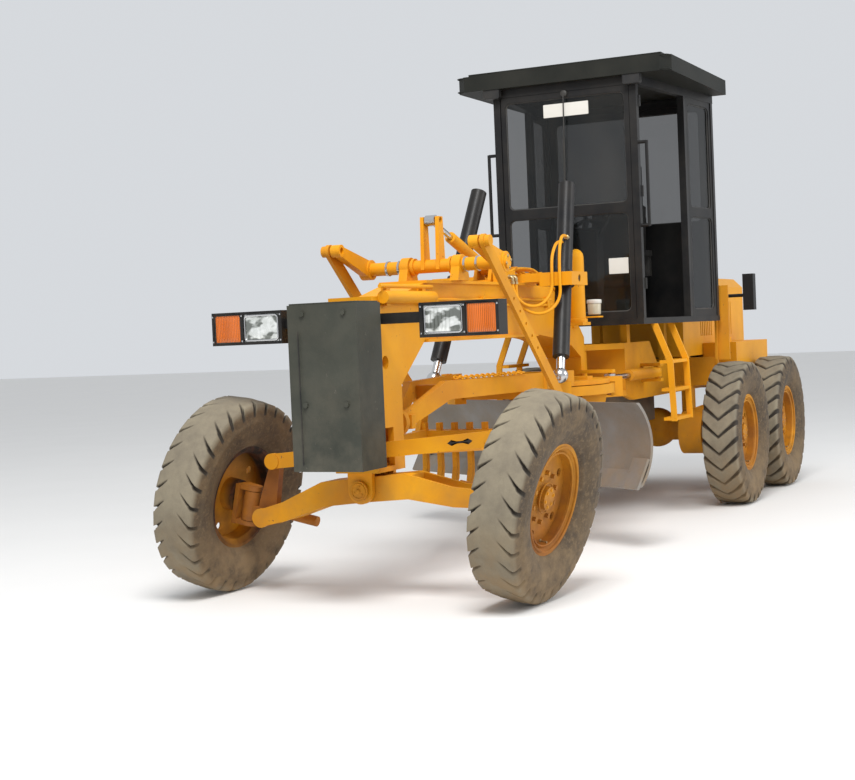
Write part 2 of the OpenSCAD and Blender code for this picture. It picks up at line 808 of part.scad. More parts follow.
// Arms under the ring, the shoes in which the moldboard's rails slide, and the shift cylinder
module blade_arms() {
    shoe = 36;
    color(shade) at_blade() difference() {
        union() {
            for (y = [-arm_y, arm_y]) {
                side_plate([
                    [-372, circle_z - seat], [-120, circle_z - seat], [-100, blade_mid + rail_z + 60],
                    [-100, blade_mid - rail_z - 60], [-190, blade_mid - rail_z - 60],
                    [-250, blade_mid]
                ], y - 30, 60);
                for (z = [-rail_z, rail_z])
                    translate([rail_back - 40, y - 90, blade_mid + z - rail_h / 2 - shoe])
                        cube([86, 180, rail_h + 2 * shoe]);
            }
            translate([-250, -arm_y, blade_mid - 34]) cube([62, 2 * arm_y, 68]);
            rod([shift_x, -380, blade_mid], [shift_x, 405, blade_mid], 40);
            for (y = [-300, 300])
                translate([-210, y - 25, blade_mid - 30]) cube([30, 50, 60]);
        }
        for (y = [-arm_y, arm_y], z = [-rail_z, rail_z])
            translate([rail_back - 4, y - 100, blade_mid + z - rail_h / 2 - 4])
                cube([200, 200, rail_h + 8]);
        rod([shift_x, -600, blade_mid], [shift_x, 380, blade_mid], shift_rod_r + fit);
    }
}

// Curved moldboard with its rails and side shift rod; its own middle is shifted right
module moldboard() {
    back = bow_r + blade_t;
    color(steel) at_blade() translate([0, -blade_shift, 0]) {
        translate([0, blade_len / 2, 0]) rotate([90, 0, 0]) linear_extrude(blade_len)
            translate([bow_x, blade_mid])
                intersection() {
                    difference() {
                        circle(r = back, $fn = 96);
                        circle(r = bow_r, $fn = 96);
                    }
                    translate([-back - 10, -blade_h / 2]) square([back, blade_h]);
                }
        for (z = [-rail_z, rail_z])
            translate([rail_back, -blade_len / 2 + 120, blade_mid + z - rail_h / 2])
                cube([78, blade_len - 240, rail_h]);
        translate([shift_x - 30, -blade_len / 2 + 60, blade_mid - 45])
            cube([-shift_x - 40, 40, 90]);
        rod([shift_x, -blade_len / 2 + 62, blade_mid], [shift_x, 0, blade_mid], shift_rod_r);
    }
}

// Face of the moldboard at height h over its lower edge
function blade_face(h) = bow_x - sqrt(bow_r * bow_r - pow(blade_h / 2 - h, 2));
edge_h = 150;
edge_drop = 20;
bit_h = 240;
bit_len = 156;

// Stands a straight plate of height h against the hollow face, its lower edge below the moldboard's
module at_edge(y, h) {
    reach = h - edge_drop;
    tilt = atan2(blade_face(0) - blade_face(reach), reach);
    at_blade()
        translate([blade_face(0), y - blade_shift, blade_mid - blade_h / 2])
            rotate([0, -tilt, 0]) translate([seat, 0, -edge_drop]) children();
}

// Cutting edge in two lengths
module cutting_edge() {
    color(steel)
        for (y = [-blade_len / 2 + bit_len - 6, 1])
            at_edge(y, edge_h) cube([18, blade_len / 2 - bit_len + 5, edge_h]);
}

// End bits, which guard both ends of the moldboard
module end_bits() {
    color(yellow) {
        at_edge(blade_len / 2 - bit_len + 8, bit_h) cube([22, bit_len, bit_h]);
        at_edge(-blade_len / 2 - 8, bit_h) cube([22, bit_len - 0.5, bit_h]);
    }
}

// Scarifier: a cross tube on the gooseneck turned by a cylinder, its arms, links and tine frame
tube_x = fa - 1000;
tube_z = 2107;
tube_r = 46;
tube_half = 500;
lift_rise = 16;
lift_pin_y = 564;
lever_up = 310;
link_low = [fa - 1850, 1130];
link_pin = [tube_x + lift_arm * cos(lift_rise), tube_z + lift_arm * sin(lift_rise)];
link_t = 28;
ram_foot = [fa - 1900, 2105];
ram_pin = [tube_x, tube_z + lever_up];
scar_pivot = [fa - 260, 925];
block_x = fa - 1760;

module scar_bearings() {
    color(yellow)
        for (y = [-195, 195])
            difference() {
                union() {
                    side_plate([
                        [tube_x - 95, flange_top + seat], [tube_x + 95, flange_top + seat],
                        [tube_x + 62, tube_z], [tube_x - 62, tube_z]
                    ], y - 32, 64);
                    cross_bar(tube_x, y - 32, tube_z, 64, 68);
                }
                cross_bar(tube_x, y - 60, tube_z, 120, tube_r + fit);
            }
}

// Cross tube with the arm on each end and the twin levers in the middle
module cross_tube() {
    color(yellow) {
        cross_bar(tube_x, -tube_half - 60, tube_z, 2 * tube_half + 120, tube_r);
        for (y = [-150, 132]) cross_bar(tube_x, y, tube_z, 18, tube_r + 14);
        both_sides() difference() {
            union() {
                translate([tube_x, 0, tube_z]) rotate([0, -lift_rise, 0])
                    side_plate([[-8, -60], [lift_arm, -34], [lift_arm, 34], [-8, 60]],
                        tube_half - 20, 56);
                cross_bar(tube_x, tube_half - 30, tube_z, 76, 70);
                cross_bar(link_pin[0], tube_half - 26, link_pin[1], 68, 42);
            }
            cross_bar(link_pin[0], 0, link_pin[1], 900, 22 + fit);
        }
        for (y = [-70, 44])
            difference() {
                side_plate([
                    [tube_x - 52, tube_z - 24], [tube_x + 52, tube_z - 24], [tube_x + 34, ram_pin[1] + 26],
                    [tube_x - 34, ram_pin[1] + 26]
                ], y, 26);
                cross_bar(tube_x, -200, ram_pin[1], 400, 22 + fit);
            }
    }
}

module scar_ram_barrel() {
    dir = (ram_pin - ram_foot) / norm(ram_pin - ram_foot);
    out = ram_foot + dir * 640;
    color(yellow) difference() {
        union() {
            rod([ram_foot[0], 0, ram_foot[1]], [out[0], 0, out[1]], 40);
            cross_bar(ram_foot[0], -30, ram_foot[1], 60, 46);
        }
        rod([ram_foot[0] + dir[0] * 90, 0, ram_foot[1] + dir[1] * 90],
            [out[0] + dir[0] * 5, 0, out[1] + dir[1] * 5], 20 + fit);
        cross_bar(ram_foot[0], -60, ram_foot[1], 120, 24 + fit);
    }
}

module scar_ram_rod() {
    dir = (ram_pin - ram_foot) / norm(ram_pin - ram_foot);
    a = ram_foot + dir * 300;
    color(steel) {
        rod([a[0], 0, a[1]], [ram_pin[0] - dir[0] * 20, 0, ram_pin[1] - dir[1] * 20], 20);
        difference() {
            cross_bar(ram_pin[0], -36, ram_pin[1], 72, 38);
            cross_bar(ram_pin[0], -60, ram_pin[1], 120, 23);
        }
    }
}

// Bracket on the gooseneck that holds the ram's foot
module ram_bracket() {
    color(yellow) {
        for (y = [-70, 44])
            side_plate([
                [ram_foot[0] - 90, flange_top + seat], [ram_foot[0] + 90, flange_top + seat],
                [ram_foot[0] + 40, ram_foot[1] + 44], [ram_foot[0] - 40, ram_foot[1] + 44]
            ], y, 26);
        translate([ram_foot[0] - 110, -80, flange_top + seat]) cube([220, 160, 22]);
        cross_bar(ram_foot[0], -74, ram_foot[1], 148, 24);
    }
}

// Long adjusting links with a row of holes, and the tie between their lower ends
module scar_links() {
    d = link_low - link_pin;
    long = norm(d);
    dip = atan2(-d[1], -d[0]);
    color(yellow) both_sides()
        translate([link_pin[0], lift_pin_y + 6, link_pin[1]]) rotate([0, -dip, 0])
            difference() {
                union() {
                    translate([-long, 0, 0]) rotate([90, 0, 0])
                        linear_extrude(link_t, center = true)
                            union() {
                                translate([0, -46]) square([long, 92]);
                                circle(r = 46);
                                translate([long, 0]) circle(r = 46);
                            }
                    rotate([90, 0, 0]) translate([0, 0, -34]) cylinder(h = 140 - 30, r = 22);
                    rotate([90, 0, 0]) translate([0, 0, -48]) cylinder(h = 36, r = 38);
                }
                for (k = [0:4])
                    translate([-long * 0.34 - k * 130, 0, 0])
                        rotate([90, 0, 0]) cylinder(h = 60, r = 13, center = true);
            }
}

scar_turn = atan2(385, scar_pivot[0] - block_x);
tine_outline = [
    [-24, 0], [24, 0], [24, -330], [62, -440], [128, -528], [50, -490], [-12, -410], [-24, -330]
];

// Tine frame: two arms from the nose, the block and its row of tines
module scarifier() {
    run = scar_pivot[0] - block_x;
    half = tine_block_w / 2;
    pitch = (tine_block_w - 140) / (tine_count - 1);
    color(shade) {
        both_sides() difference() {
            union() {
                translate([scar_pivot[0], 95, scar_pivot[1]]) rotate([0, 0, -scar_turn])
                    side_plate([[0, 48], [-run, 10], [-run - 60, 10], [-run - 60, -120], [-run, -120],
                        [0, -48]], -22, 44);
                cross_bar(scar_pivot[0], 68, scar_pivot[1], 54, 50);
            }
            cross_bar(scar_pivot[0], 0, scar_pivot[1], 200, 26 + fit);
        }
        difference() {
            translate([block_x - 75, -half, scar_pivot[1] - 125]) cube([150, tine_block_w, 130]);
            translate([block_x - 45, -half + 30, scar_pivot[1] - 140])
                cube([90, tine_block_w - 60, 115]);
        }
        both_sides() side_plate([
            [block_x - 60, scar_pivot[1]], [block_x + 60, scar_pivot[1]],
            [link_low[0] + 40, link_low[1] + 20], [link_low[0] + 20, link_low[1] + 44],
            [link_low[0] - 20, link_low[1] + 44], [link_low[0] - 44, link_low[1]]
        ], lift_pin_y - 60, 40);
    }
    color(steel)
        for (i = [0:tine_count - 1])
            translate([block_x, -half + 70 + i * pitch - 18, scar_pivot[1] + 60])
                side_plate(tine_outline, 0, 36);
}

// Bracket plates and pin of the tine frame under the nose
module scar_mount() {
    for (y = [-62, 28])
        side_plate([
            [nose_back + 20, scar_pivot[1] + 90], [nose_back + 20, scar_pivot[1] - 80],
            [scar_pivot[0] - 40, scar_pivot[1] - 46], [scar_pivot[0] - 40, scar_pivot[1] + 46]
        ], y, 34);
    cross_bar(scar_pivot[0], -122, scar_pivot[1], 244, 26);
}

// Rear frame: hinge plates, rails, cab deck brackets and the bulkhead
rail_y = 300;
rail_t = 40;
rail_low = 1000;
rail_top = 1300;
rear_start = hinge_x - 330;
deck_t = 50;

module rear_frame() {
    front_gap = hinge_r + 40;
    color(yellow) {
        difference() {
            union() {
                for (z = [hinge_top + gap, hinge_low - gap - 50])
                    translate([0, 0, z]) {
                        translate([hinge_x, 0, 0]) cylinder(h = 50, r = 112);
                        flat_plate([
                            [hinge_x, -110], [hinge_x, 110], [rear_start, rail_y + rail_t],
                            [rear_start - 260, rail_y + rail_t], [rear_start - 260, -rail_y - rail_t],
                            [rear_start, -rail_y - rail_t]
                        ], 0, 50);
                    }
                translate([rear_start - 40, -rail_y, hinge_low - 60])
                    cube([40, 2 * rail_y, hinge_top - hinge_low + 120]);
                both_sides() {
                    side_plate([
                        [rear_start, hinge_low - 56], [rear_start, hinge_top + 56],
                        [rear_start - 700, hinge_top + 56], [rear_start - 900, rail_top],
                        [tail_x + 20, rail_top], [tail_x + 20, rail_low], [rear_start - 200, rail_low]
                    ], rail_y, rail_t);
                    // Brackets up to the cab deck
                    for (x = [rear_start - 120, cab_back + 140])
                        translate([x - 40, rail_y - 20, rail_top - 40])
                            cube([80, 60, cab_floor - deck_t - rail_top + 40 - seat]);
                    // Ledges that carry the hood
                    for (x = [tail_x + 300, tail_x + 1200, cab_back - 260])
                        translate([x, rail_y + 10, rail_top - 40])
                            cube([90, hood_w / 2 - rail_y - 10, hood_low - rail_top + 40 - seat]);
                    // Saddles down to the rear axle
                    translate([tandem_x - 130, rail_y - 10, saddle_z + seat])
                        cube([260, 60, rail_low - saddle_z + 10]);
                }
                for (x = [tail_x + 60, tandem_x + 500])
                    translate([x, -rail_y, rail_low + 40]) cube([80, 2 * rail_y, 180]);
                translate([hinge_x, 0, hinge_low - gap - 70])
                    cylinder(h = hinge_top - hinge_low + 2 * gap + 140, r = hinge_pin_r);
                artic_feet();
                // Tail plate with a towing eye
                translate([tail_x, -rail_y - 150, rail_low - 60]) cube([40, 2 * rail_y + 300, 380]);
                translate([tail_x - 70, -60, rail_low + 20]) cube([90, 120, 30]);
                translate([tail_x - 70, 0, rail_low + 20]) cylinder(h = 30, r = 60);
            }
            translate([tail_x - 70, 0, rail_low]) cylinder(h = 80, r = tow_r);
        }
    }
}
tow_r = 26;

// Bulkhead behind the cab, slotted for the rails, with its bent-up outer ends
module bulkhead() {
    x = cab_back - 90;
    slot = rail_t + 2 * seat;
    color(yellow) difference() {
        union() {
            translate([x, -cab_rear_w / 2 + 50, 1060]) cube([24, cab_rear_w - 100, 260]);
            both_sides() {
                translate([x, cab_rear_w / 2 - 60, tyre_d + 12]) cube([24, 120, 680]);
                // Web that stiffens the outer end
                side_plate([[x + 20, 1100], [x + 20, 1900], [x + 60, 1800], [x + 84, 1300]],
                    cab_rear_w / 2 - 60, 20);
            }
        }
        both_sides()
            translate([x - 20, rail_y - seat, rail_low - seat])
                cube([64, slot, rail_top - rail_low + 2 * seat]);
        // Cross-member of the rear frame between the rails
        translate([x - 20, -rail_y - 1, 1059]) cube([64, 2 * rail_y + 2, 161 + seat]);
    }
}

// Articulation cylinders: feet on the rear frame, rods to the front frame
foot_x = rear_start - 460;
foot_y = 470;
swing_z = 1225;
horn_x = hinge_x + 250;
horn_y = 400;
swing_r = 48;
horn_pin_r = 11;
// The rod's eye is wide, because a straight ratio only follows the horn roughly
swing_eye = horn_pin_r + 27;

module artic_feet() {
    both_sides() {
        for (z = [swing_z - 80, swing_z + 54])
            translate([foot_x - 45, rail_y + 10, z]) cube([90, foot_y - rail_y + 40, 26]);
        translate([foot_x, foot_y, swing_z - 76]) cylinder(h = 152, r = 18);
    }
}

module artic_barrel(s) {
    foot = [foot_x, s * foot_y, swing_z];
    horn = [horn_x, s * horn_y, swing_z];
    dir = (horn - foot) / norm(horn - foot);
    color(yellow) difference() {
        union() {
            rod(foot, foot + dir * 640, swing_r);
            translate(foot - [0, 0, 38]) cylinder(h = 76, r = 44);
        }
        rod(foot + dir * 90, foot + dir * 645, 22 + fit);
        translate(foot - [0, 0, 60]) cylinder(h = 120, r = 18 + fit);
    }
}

module artic_rod(s) {
    foot = [foot_x, s * foot_y, swing_z];
    horn = [horn_x, s * horn_y, swing_z];
    dir = (horn - foot) / norm(horn - foot);
    color(steel) {
        rod(foot + dir * 380, horn - dir * (swing_eye + 2), 22);
        difference() {
            translate(horn - [0, 0, 30]) cylinder(h = 60, r = swing_eye + 12);
            translate(horn - [0, 0, 60]) cylinder(h = 120, r = swing_eye);
        }
    }
}

// Horns on the front frame, above and below each rod's eye, with the pin between them
module artic_horns() {
    both_sides() translate([horn_x, horn_y, swing_z - 56]) cylinder(h = 112, r = horn_pin_r);
    both_sides()
        for (z = [swing_z - 66, swing_z + 40])
            flat_plate([
                [horn_x - 110, neck_w / 2 - 20], [horn_x + 46, neck_w / 2 - 20],
                [horn_x + 40, horn_y + 36], [horn_x - 40, horn_y + 36]
            ], z, 26);
}

// Tandem cases with the cross axle and the four wheel spindles
case_y = 490;
case_w = 210;
axle_r = 125;
saddle_z = tyre_r + axle_r + 25;

module tandem_cases() {
    color(shade) {
        both_sides() {
            translate([0, case_y + case_w, 0]) rotate([90, 0, 0]) linear_extrude(case_w)
                union() {
                    for (x = [-tandem_gap / 2, tandem_gap / 2])
                        translate([tandem_x + x, tyre_r]) circle(r = 190);
                    polygon([
                        [tandem_x - tandem_gap / 2, tyre_r - 190], [tandem_x + tandem_gap / 2, tyre_r - 190],
                        [tandem_x + tandem_gap / 2, tyre_r + 190], [tandem_x + 170, tyre_r + 215],
                        [tandem_x - 170, tyre_r + 215], [tandem_x - tandem_gap / 2, tyre_r + 190]
                    ]);
                }
            for (x = [-tandem_gap / 2, tandem_gap / 2]) {
                cross_bar(tandem_x + x, case_y + case_w - 5, tyre_r,
                    rear_y - hub_in - 6 - case_y - case_w, 96);
                cross_bar(tandem_x + x, case_y + case_w, tyre_r,
                    rear_y + disc_depth + 12 - case_y - case_w, spindle_r);
            }
        }
        cross_bar(tandem_x, -case_y - 10, tyre_r, 2 * case_y + 20, axle_r);
        both_sides()
            translate([tandem_x - 130, rail_y - 16, tyre_r]) cube([260, 72, saddle_z - tyre_r]);
        translate([tandem_x, 0, tyre_r]) sphere(r = 190);
    }
}

wheel_rows = [[1, 1], [1, -1], [-1, 1], [-1, -1]];

module at_rear_wheel(row) {
    translate([tandem_x + row[0] * tandem_gap / 2, row[1] * rear_y, tyre_r]) children();
}

module rear_rim(row) {
    color(yellow) at_rear_wheel(row) rim_body(row[1]);
}

module rear_tyre(row) {
    color(rubber) at_rear_wheel(row) lugged_tyre();
}

module transmission() {
    color(shade) {
        translate([-900, 0, 620]) cylinder(h = 760, r = 170);
        translate([-1750, -170, 760]) cube([860, 340, 560]);
        for (x = [-1650, -1100])
            translate([x, seat - rail_y, 1110]) cube([90, 2 * rail_y - 2 * seat, 70]);
    }
}

module engine_block() {
    color(steel) {
        translate([-3350, -240, 1060]) cube([1450, 480, 820]);
        for (x = [-3200, -2200])
            translate([x, seat - rail_y, 1090]) cube([110, 2 * rail_y - 2 * seat, 90]);
    }
}

// Hood, grille and tanks round the engine
hood_x = cab_back - 62;
hood_low = 1330;

module hood() {
    long = hood_x - tail_x - 60;
    color(yellow) translate([tail_x + 60, 0, 0]) difference() {
        rotate([90, 0, 90]) linear_extrude(long)
            polygon([
                [-hood_w / 2, hood_low], [hood_w / 2, hood_low], [hood_w / 2, hood_top - 90],
                [hood_w / 2 - 90, hood_top], [90 - hood_w / 2, hood_top], [-hood_w / 2, hood_top - 90]
            ]);
        translate([-1, 0, 0]) rotate([90, 0, 90]) linear_extrude(long - sheet + 1)
            polygon([
                [sheet - hood_w / 2, hood_low - 1], [hood_w / 2 - sheet, hood_low - 1],
                [hood_w / 2 - sheet, hood_top - 96], [hood_w / 2 - 98, hood_top - sheet],
                [98 - hood_w / 2, hood_top - sheet], [sheet - hood_w / 2, hood_top - 96]
            ]);
        // Louvre slots in the side doors
        for (x = [500, 1250], i = [0:louvres - 1])
            translate([x + i * 62, -hood_w, hood_low + 180]) cube([24, 2 * hood_w, 330]);
    }
    // Exhaust stack and air cleaner on the hood
    color(black) {
        translate([tail_x + 1500, -180, hood_top + seat]) cylinder(h = 620, r = 62);
        translate([tail_x + 1500, -180, hood_top + 600]) cylinder(h = 520, r = 34);
        translate([tail_x + 1950, 190, hood_top + seat]) cylinder(h = 380, r = 120);
        translate([tail_x + 1950, 190, hood_top + 370]) cylinder(h = 60, r = 150);
        // Box on an arm at each side, behind the cab
        both_sides() {
            rod([hood_x - 530, hood_w / 2 - 6, 1880], [hood_x - 530, 910, 1880], 16);
            translate([hood_x - 580, 900, 1740]) cube([100, 100, 340]);
        }
    }
}

// Radiator grille in the tail: a frame with upright bars
module rear_grille() {
    inner_w = hood_w - 2 * sheet - 2 * seat;
    inner_h = hood_top - 104 - hood_low;
    bars = 14;
    color(black) translate([tail_x + 62, -inner_w / 2, hood_low + 4]) {
        difference() {
            cube([34, inner_w, inner_h]);
            translate([-1, 36, 36]) cube([36, inner_w - 72, inner_h - 72]);
        }
        for (i = [1:bars])
            translate([6, 36 + i * (inner_w - 72) / (bars + 1) - 8, 30]) cube([14, 16, inner_h - 60]);
        translate([24, 30, 30]) cube([10, inner_w - 60, inner_h - 60]);
    }
}

tank_y = hood_w / 2 + 6;

// Fuel tank on the left and hydraulic tank on the right, on brackets from the rails
module side_tanks() {
    long = 1240;
    wide = rear_y - tyre_w / 2 - 35 - tank_y;
    color(yellow) both_sides() {
        difference() {
            translate([tandem_x - 90 - long, tank_y, 1110]) cube([long, wide, 330]);
            translate([tandem_x - 91 - long, tank_y + wide, 1110]) rotate([0, 90, 0])
                cylinder(h = long + 2, r = 60, $fn = 4);
        }
        translate([tandem_x - 330, tank_y + wide / 2, 1438]) cylinder(h = 50, r = 55);
        for (x = [tandem_x - 400, tandem_x - 1100])
            translate([x, rail_y + rail_t + seat, 1120])
                cube([80, tank_y - rail_y - rail_t + 5, 120]);
    }
}

// Cab plan: half width at a distance behind its front
function cab_half(back) = cab_front_w / 2 + (cab_rear_w - cab_front_w) / 2 * back / cab_len;
mid_back = 1010;
head = roof_z - 70;
cab_turn = atan2((cab_rear_w - cab_front_w) / 2, cab_len);

function plan(grow, start, end) = [
    [cab_x - start + grow, cab_half(start) + grow], [cab_x - start + grow, -cab_half(start) - grow],
    [cab_x - end - grow, -cab_half(end) - grow], [cab_x - end - grow, cab_half(end) + grow]
];

// Deck, posts and top rails
module cab_frame() {
    color(black) {
        flat_plate(plan(0, 0, cab_len), cab_floor - deck_t, deck_t);
        difference() {
            flat_plate(plan(0, 0, cab_len), head, roof_z - head - seat);
            flat_plate(plan(-post, 0, cab_len), head - 1, roof_z);
        }
        for (b = [post / 2, mid_back, cab_len - post / 2])
            both_sides()
                translate([cab_x - b - post / 2, cab_half(b) - post, cab_floor - bite])
                    cube([post, post, head - cab_floor + 2 * bite]);
        // Hinge leaves left on the front posts, and the grab rails beside the doorways
        both_sides() {
            for (z = [cab_floor + 240, cab_floor + 1000, cab_floor + 1740])
                translate([cab_x - 70, cab_half(70) - 4, z]) cylinder(h = 90, r = 14);
            rod([cab_x - 20, cab_half(20) + 70, 2450], [cab_x - 20, cab_half(20) + 70, 3150], 14);
            for (z = [2460, 3140])
                rod([cab_x - 20, cab_half(20) - 10, z], [cab_x - 20, cab_half(20) + 70, z], 14);
        }
    }
}

wall = 36;
wall_h = head - cab_floor - 2 * seat;
front_w = cab_front_w - 2 * post - 2 * bite;
rear_w = 2 * cab_half(cab_len - post / 2) - 2 * post - 2 * bite;
side_w = cab_len - mid_back - 1.5 * post - 2 * bite;
// Windows of each wall: how far from its edge, how high, how wide, how tall
front_windows = [[40, 960, front_w - 80, wall_h - 1010], [40, 60, front_w - 80, 820]];
rear_windows = [[60, 860, rear_w - 120, wall_h - 910]];
side_windows = [[42, 960, side_w - 84, wall_h - 1010], [42, 60, side_w - 84, 820]];

// A window's outline with round corners
module opening(o, less) {
    r = 50;
    translate([o[0] + less, o[1] + less]) {
        translate([r, 0]) square([o[2] - 2 * less - 2 * r, o[3] - 2 * less]);
        translate([0, r]) square([o[2] - 2 * less, o[3] - 2 * less - 2 * r]);
        for (x = [r, o[2] - 2 * less - r], y = [r, o[3] - 2 * less - r])
            translate([x, y]) circle(r = r);
    }
}

module wall_panel(w, windows) {
    rotate([90, 0, 90]) linear_extrude(wall) difference() {
        square([w, wall_h]);
        for (o = windows) opening(o, 0);
    }
}

module panes(windows) {
    for (o = windows)
        translate([wall / 2 - 3, 0, 0]) rotate([90, 0, 90]) linear_extrude(6) opening(o, seat);
}

// Places of the four walls inside the posts
module at_front() {
    translate([cab_x - wall - 6, -front_w / 2, cab_floor + seat]) children();
}

module at_rear() {
    translate([cab_back + 6, -rear_w / 2, cab_floor + seat]) children();
}

module at_sides() {
    start = mid_back + post / 2 + bite;
    both_sides()
        translate([cab_x - start, cab_half(start) - 4, cab_floor + seat])
            rotate([0, 0, 90 - cab_turn]) translate([-wall, 0, 0]) children();
}

module cab_panels() {
    color(black) {
        at_front() wall_panel(front_w, front_windows);
        at_rear() wall_panel(rear_w, rear_windows);
        at_sides() wall_panel(side_w, side_windows);
    }
}

module cab_glass() {
    color(glass) {
        at_front() panes(front_windows);
        at_rear() panes(rear_windows);
        at_sides() panes(side_windows);
    }
}

// Roof slab with a deeper fascia along its front
module cab_roof() {
    color(olive) difference() {
        union() {
            translate([cab_back - 10, -roof_w / 2, roof_z])
                cube([cab_x - cab_back + 90, roof_w, roof_t - 30]);
            translate([cab_back + 60, -roof_w / 2 + 90, roof_z + roof_t - 40])
                cube([cab_x - cab_back - 60, roof_w - 180, 40]);
        }
        // Chamfered front corners
        both_sides()
            translate([cab_x + 80, roof_w / 2, roof_z - 1]) cylinder(h = roof_t + 2, r = 80, $fn = 4);
    }
}

seat_x = cab_x - 1080;

// Operator's seat on a pedestal
module seat_unit() {
    color(black) {
        translate([seat_x - 180, -180, cab_floor + seat]) cube([360, 360, 300]);
        translate([seat_x - 240, -250, cab_floor + 290]) cube([500, 500, 130]);
        translate([seat_x - 230, -240, cab_floor + 400]) rotate([0, -8, 0]) cube([110, 480, 620]);
        both_sides()
            translate([seat_x - 200, 250 - bite, cab_floor + 560]) cube([380, 70, 50]);
        both_sides()
            translate([seat_x - 200, 250 - bite, cab_floor + 380]) cube([60, 60, 200]);
    }
}

console_x = cab_x - 330;

// Control console with its wheel, standing on the cab floor
module console() {
    color(black) {
        flat = 150;
        side_plate([
            [console_x - 60, cab_floor + seat], [console_x + 90, cab_floor + seat],
            [console_x + 60, cab_floor + 760], [console_x - 120, cab_floor + 800],
            [console_x - 130, cab_floor + 700]
        ], -flat, 2 * flat);
        translate([console_x - 60, 0, cab_floor + 770]) rotate([0, -35, 0]) {
            cylinder(h = 130, r = 26);
            translate([0, 0, 110]) difference() {
                cylinder(h = 30, r = 190);
                translate([0, 0, -1]) cylinder(h = 32, r = 162);
            }
            for (a = [0, 120, 240])
                rotate([0, 0, a]) translate([0, -16, 114]) cube([176, 32, 20]);
        }
        // Two banks of levers beside the wheel
        both_sides()
            for (i = [0:3])
                rod([console_x - 80 + i * 30, 144, cab_floor + 700],
                    [console_x - 110 + i * 30, 250 + i * 12, cab_floor + 960], 9);
    }
}

step_top = cab_floor - deck_t - seat;
step_out = 860;

// Ladders hung from the deck at both doorways
module cab_steps() {
    color(yellow) both_sides() {
        for (x = [cab_x - 690, cab_x - 230])
            translate([x, 0, 0]) rotate([90, 0, 90]) linear_extrude(20)
                polygon([
                    [step_out - 240, step_top], [step_out - 184, step_top], [step_out - 62, 1340],
                    [step_out - 44, 830], [step_out - 92, 830], [step_out - 112, 1330]
                ]);
        for (z = [836, 1080, 1314])
            translate([cab_x - 688, step_out - 152 - (z - 700) * 0.04, z]) cube([476, 106, 26]);
    }
}

// Brackets clamped to the gooseneck: lift saddle, tube bearings, tine cylinder foot
module neck_brackets() {
    color(yellow) {
        lift_saddle();
        scar_bearings();
        ram_bracket();
    }
}

module cutting_edges() {
    cutting_edge();
    end_bits();
}

front_axle();
lean_yoke(1);  // lean_yoke_left
knuckle(1);  // knuckle_left
steer_rod(1);  // steer_rod_left
front_rim(1);  // front_rim_left
front_tyre(1);  // front_tyre_left
lean_yoke(-1);  // lean_yoke_right
knuckle(-1);  // knuckle_right
steer_rod(-1);  // steer_rod_right
front_rim(-1);  // front_rim_right
front_tyre(-1);  // front_tyre_right
lean_bar();
front_frame();
nose_box();
lamp_housings();
headlamps();
indicators();
neck_brackets();
lift_barrel(1);  // lift_barrel_left
lift_rod(1);  // lift_rod_left
lift_barrel(-1);  // lift_barrel_right
lift_rod(-1);  // lift_rod_right
drawbar();
circle_ring();
blade_arms();
moldboard();
cutting_edges();
cross_tube();
scar_ram_barrel();  // scarifier_barrel
scar_ram_rod();  // scarifier_rod
scar_links();  // scarifier_links
scarifier();
neck_hoses();
rear_frame();
bulkhead();
tandem_cases();
transmission();
engine_block();
hood();
rear_grille();
side_tanks();
rear_rim(wheel_rows[0]);  // rim_mid_left
rear_tyre(wheel_rows[0]);  // tyre_mid_left
rear_rim(wheel_rows[1]);  // rim_mid_right
rear_tyre(wheel_rows[1]);  // tyre_mid_right
rear_rim(wheel_rows[2]);  // rim_rear_left
rear_tyre(wheel_rows[2]);  // tyre_rear_left
rear_rim(wheel_rows[3]);  // rim_rear_right
rear_tyre(wheel_rows[3]);  // tyre_rear_right
artic_barrel(1);  // swing_barrel_left
artic_rod(1);  // swing_rod_left
artic_barrel(-1);  // swing_barrel_right
artic_rod(-1);  // swing_rod_right
cab_frame();
cab_panels();
cab_glass();
cab_roof();
seat_unit();  // seat
console();
cab_steps();
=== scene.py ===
"""Looks of a motor grader: worn yellow paint, black cab, dusty tyres, seen from its left front corner.

Lengths are metres; X points to the nose, Y to the machine's left and Z up.
"""
import json
import math

import bpy
import numpy as np
from mathutils import Matrix, Vector


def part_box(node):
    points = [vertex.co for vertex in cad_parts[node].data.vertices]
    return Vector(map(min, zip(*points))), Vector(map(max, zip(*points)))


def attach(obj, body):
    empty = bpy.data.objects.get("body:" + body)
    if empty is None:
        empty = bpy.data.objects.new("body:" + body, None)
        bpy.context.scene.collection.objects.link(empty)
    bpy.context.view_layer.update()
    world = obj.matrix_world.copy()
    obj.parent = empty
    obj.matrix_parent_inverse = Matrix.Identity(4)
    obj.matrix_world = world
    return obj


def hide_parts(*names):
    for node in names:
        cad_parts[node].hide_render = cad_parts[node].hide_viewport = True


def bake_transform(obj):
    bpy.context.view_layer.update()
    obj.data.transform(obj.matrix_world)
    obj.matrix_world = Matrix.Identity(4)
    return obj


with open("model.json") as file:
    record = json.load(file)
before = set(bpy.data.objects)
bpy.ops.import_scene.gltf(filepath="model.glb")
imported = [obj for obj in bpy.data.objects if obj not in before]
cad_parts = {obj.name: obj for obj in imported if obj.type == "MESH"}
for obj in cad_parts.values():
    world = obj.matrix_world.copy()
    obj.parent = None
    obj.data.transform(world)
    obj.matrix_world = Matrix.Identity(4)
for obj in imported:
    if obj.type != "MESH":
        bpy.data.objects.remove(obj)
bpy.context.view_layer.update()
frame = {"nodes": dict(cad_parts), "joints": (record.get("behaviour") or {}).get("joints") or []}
NODES = frame["nodes"]
X_AXIS, Y_AXIS, Z_AXIS = (1.0, 0.0, 0.0), (0.0, 1.0, 0.0), (0.0, 0.0, 1.0)


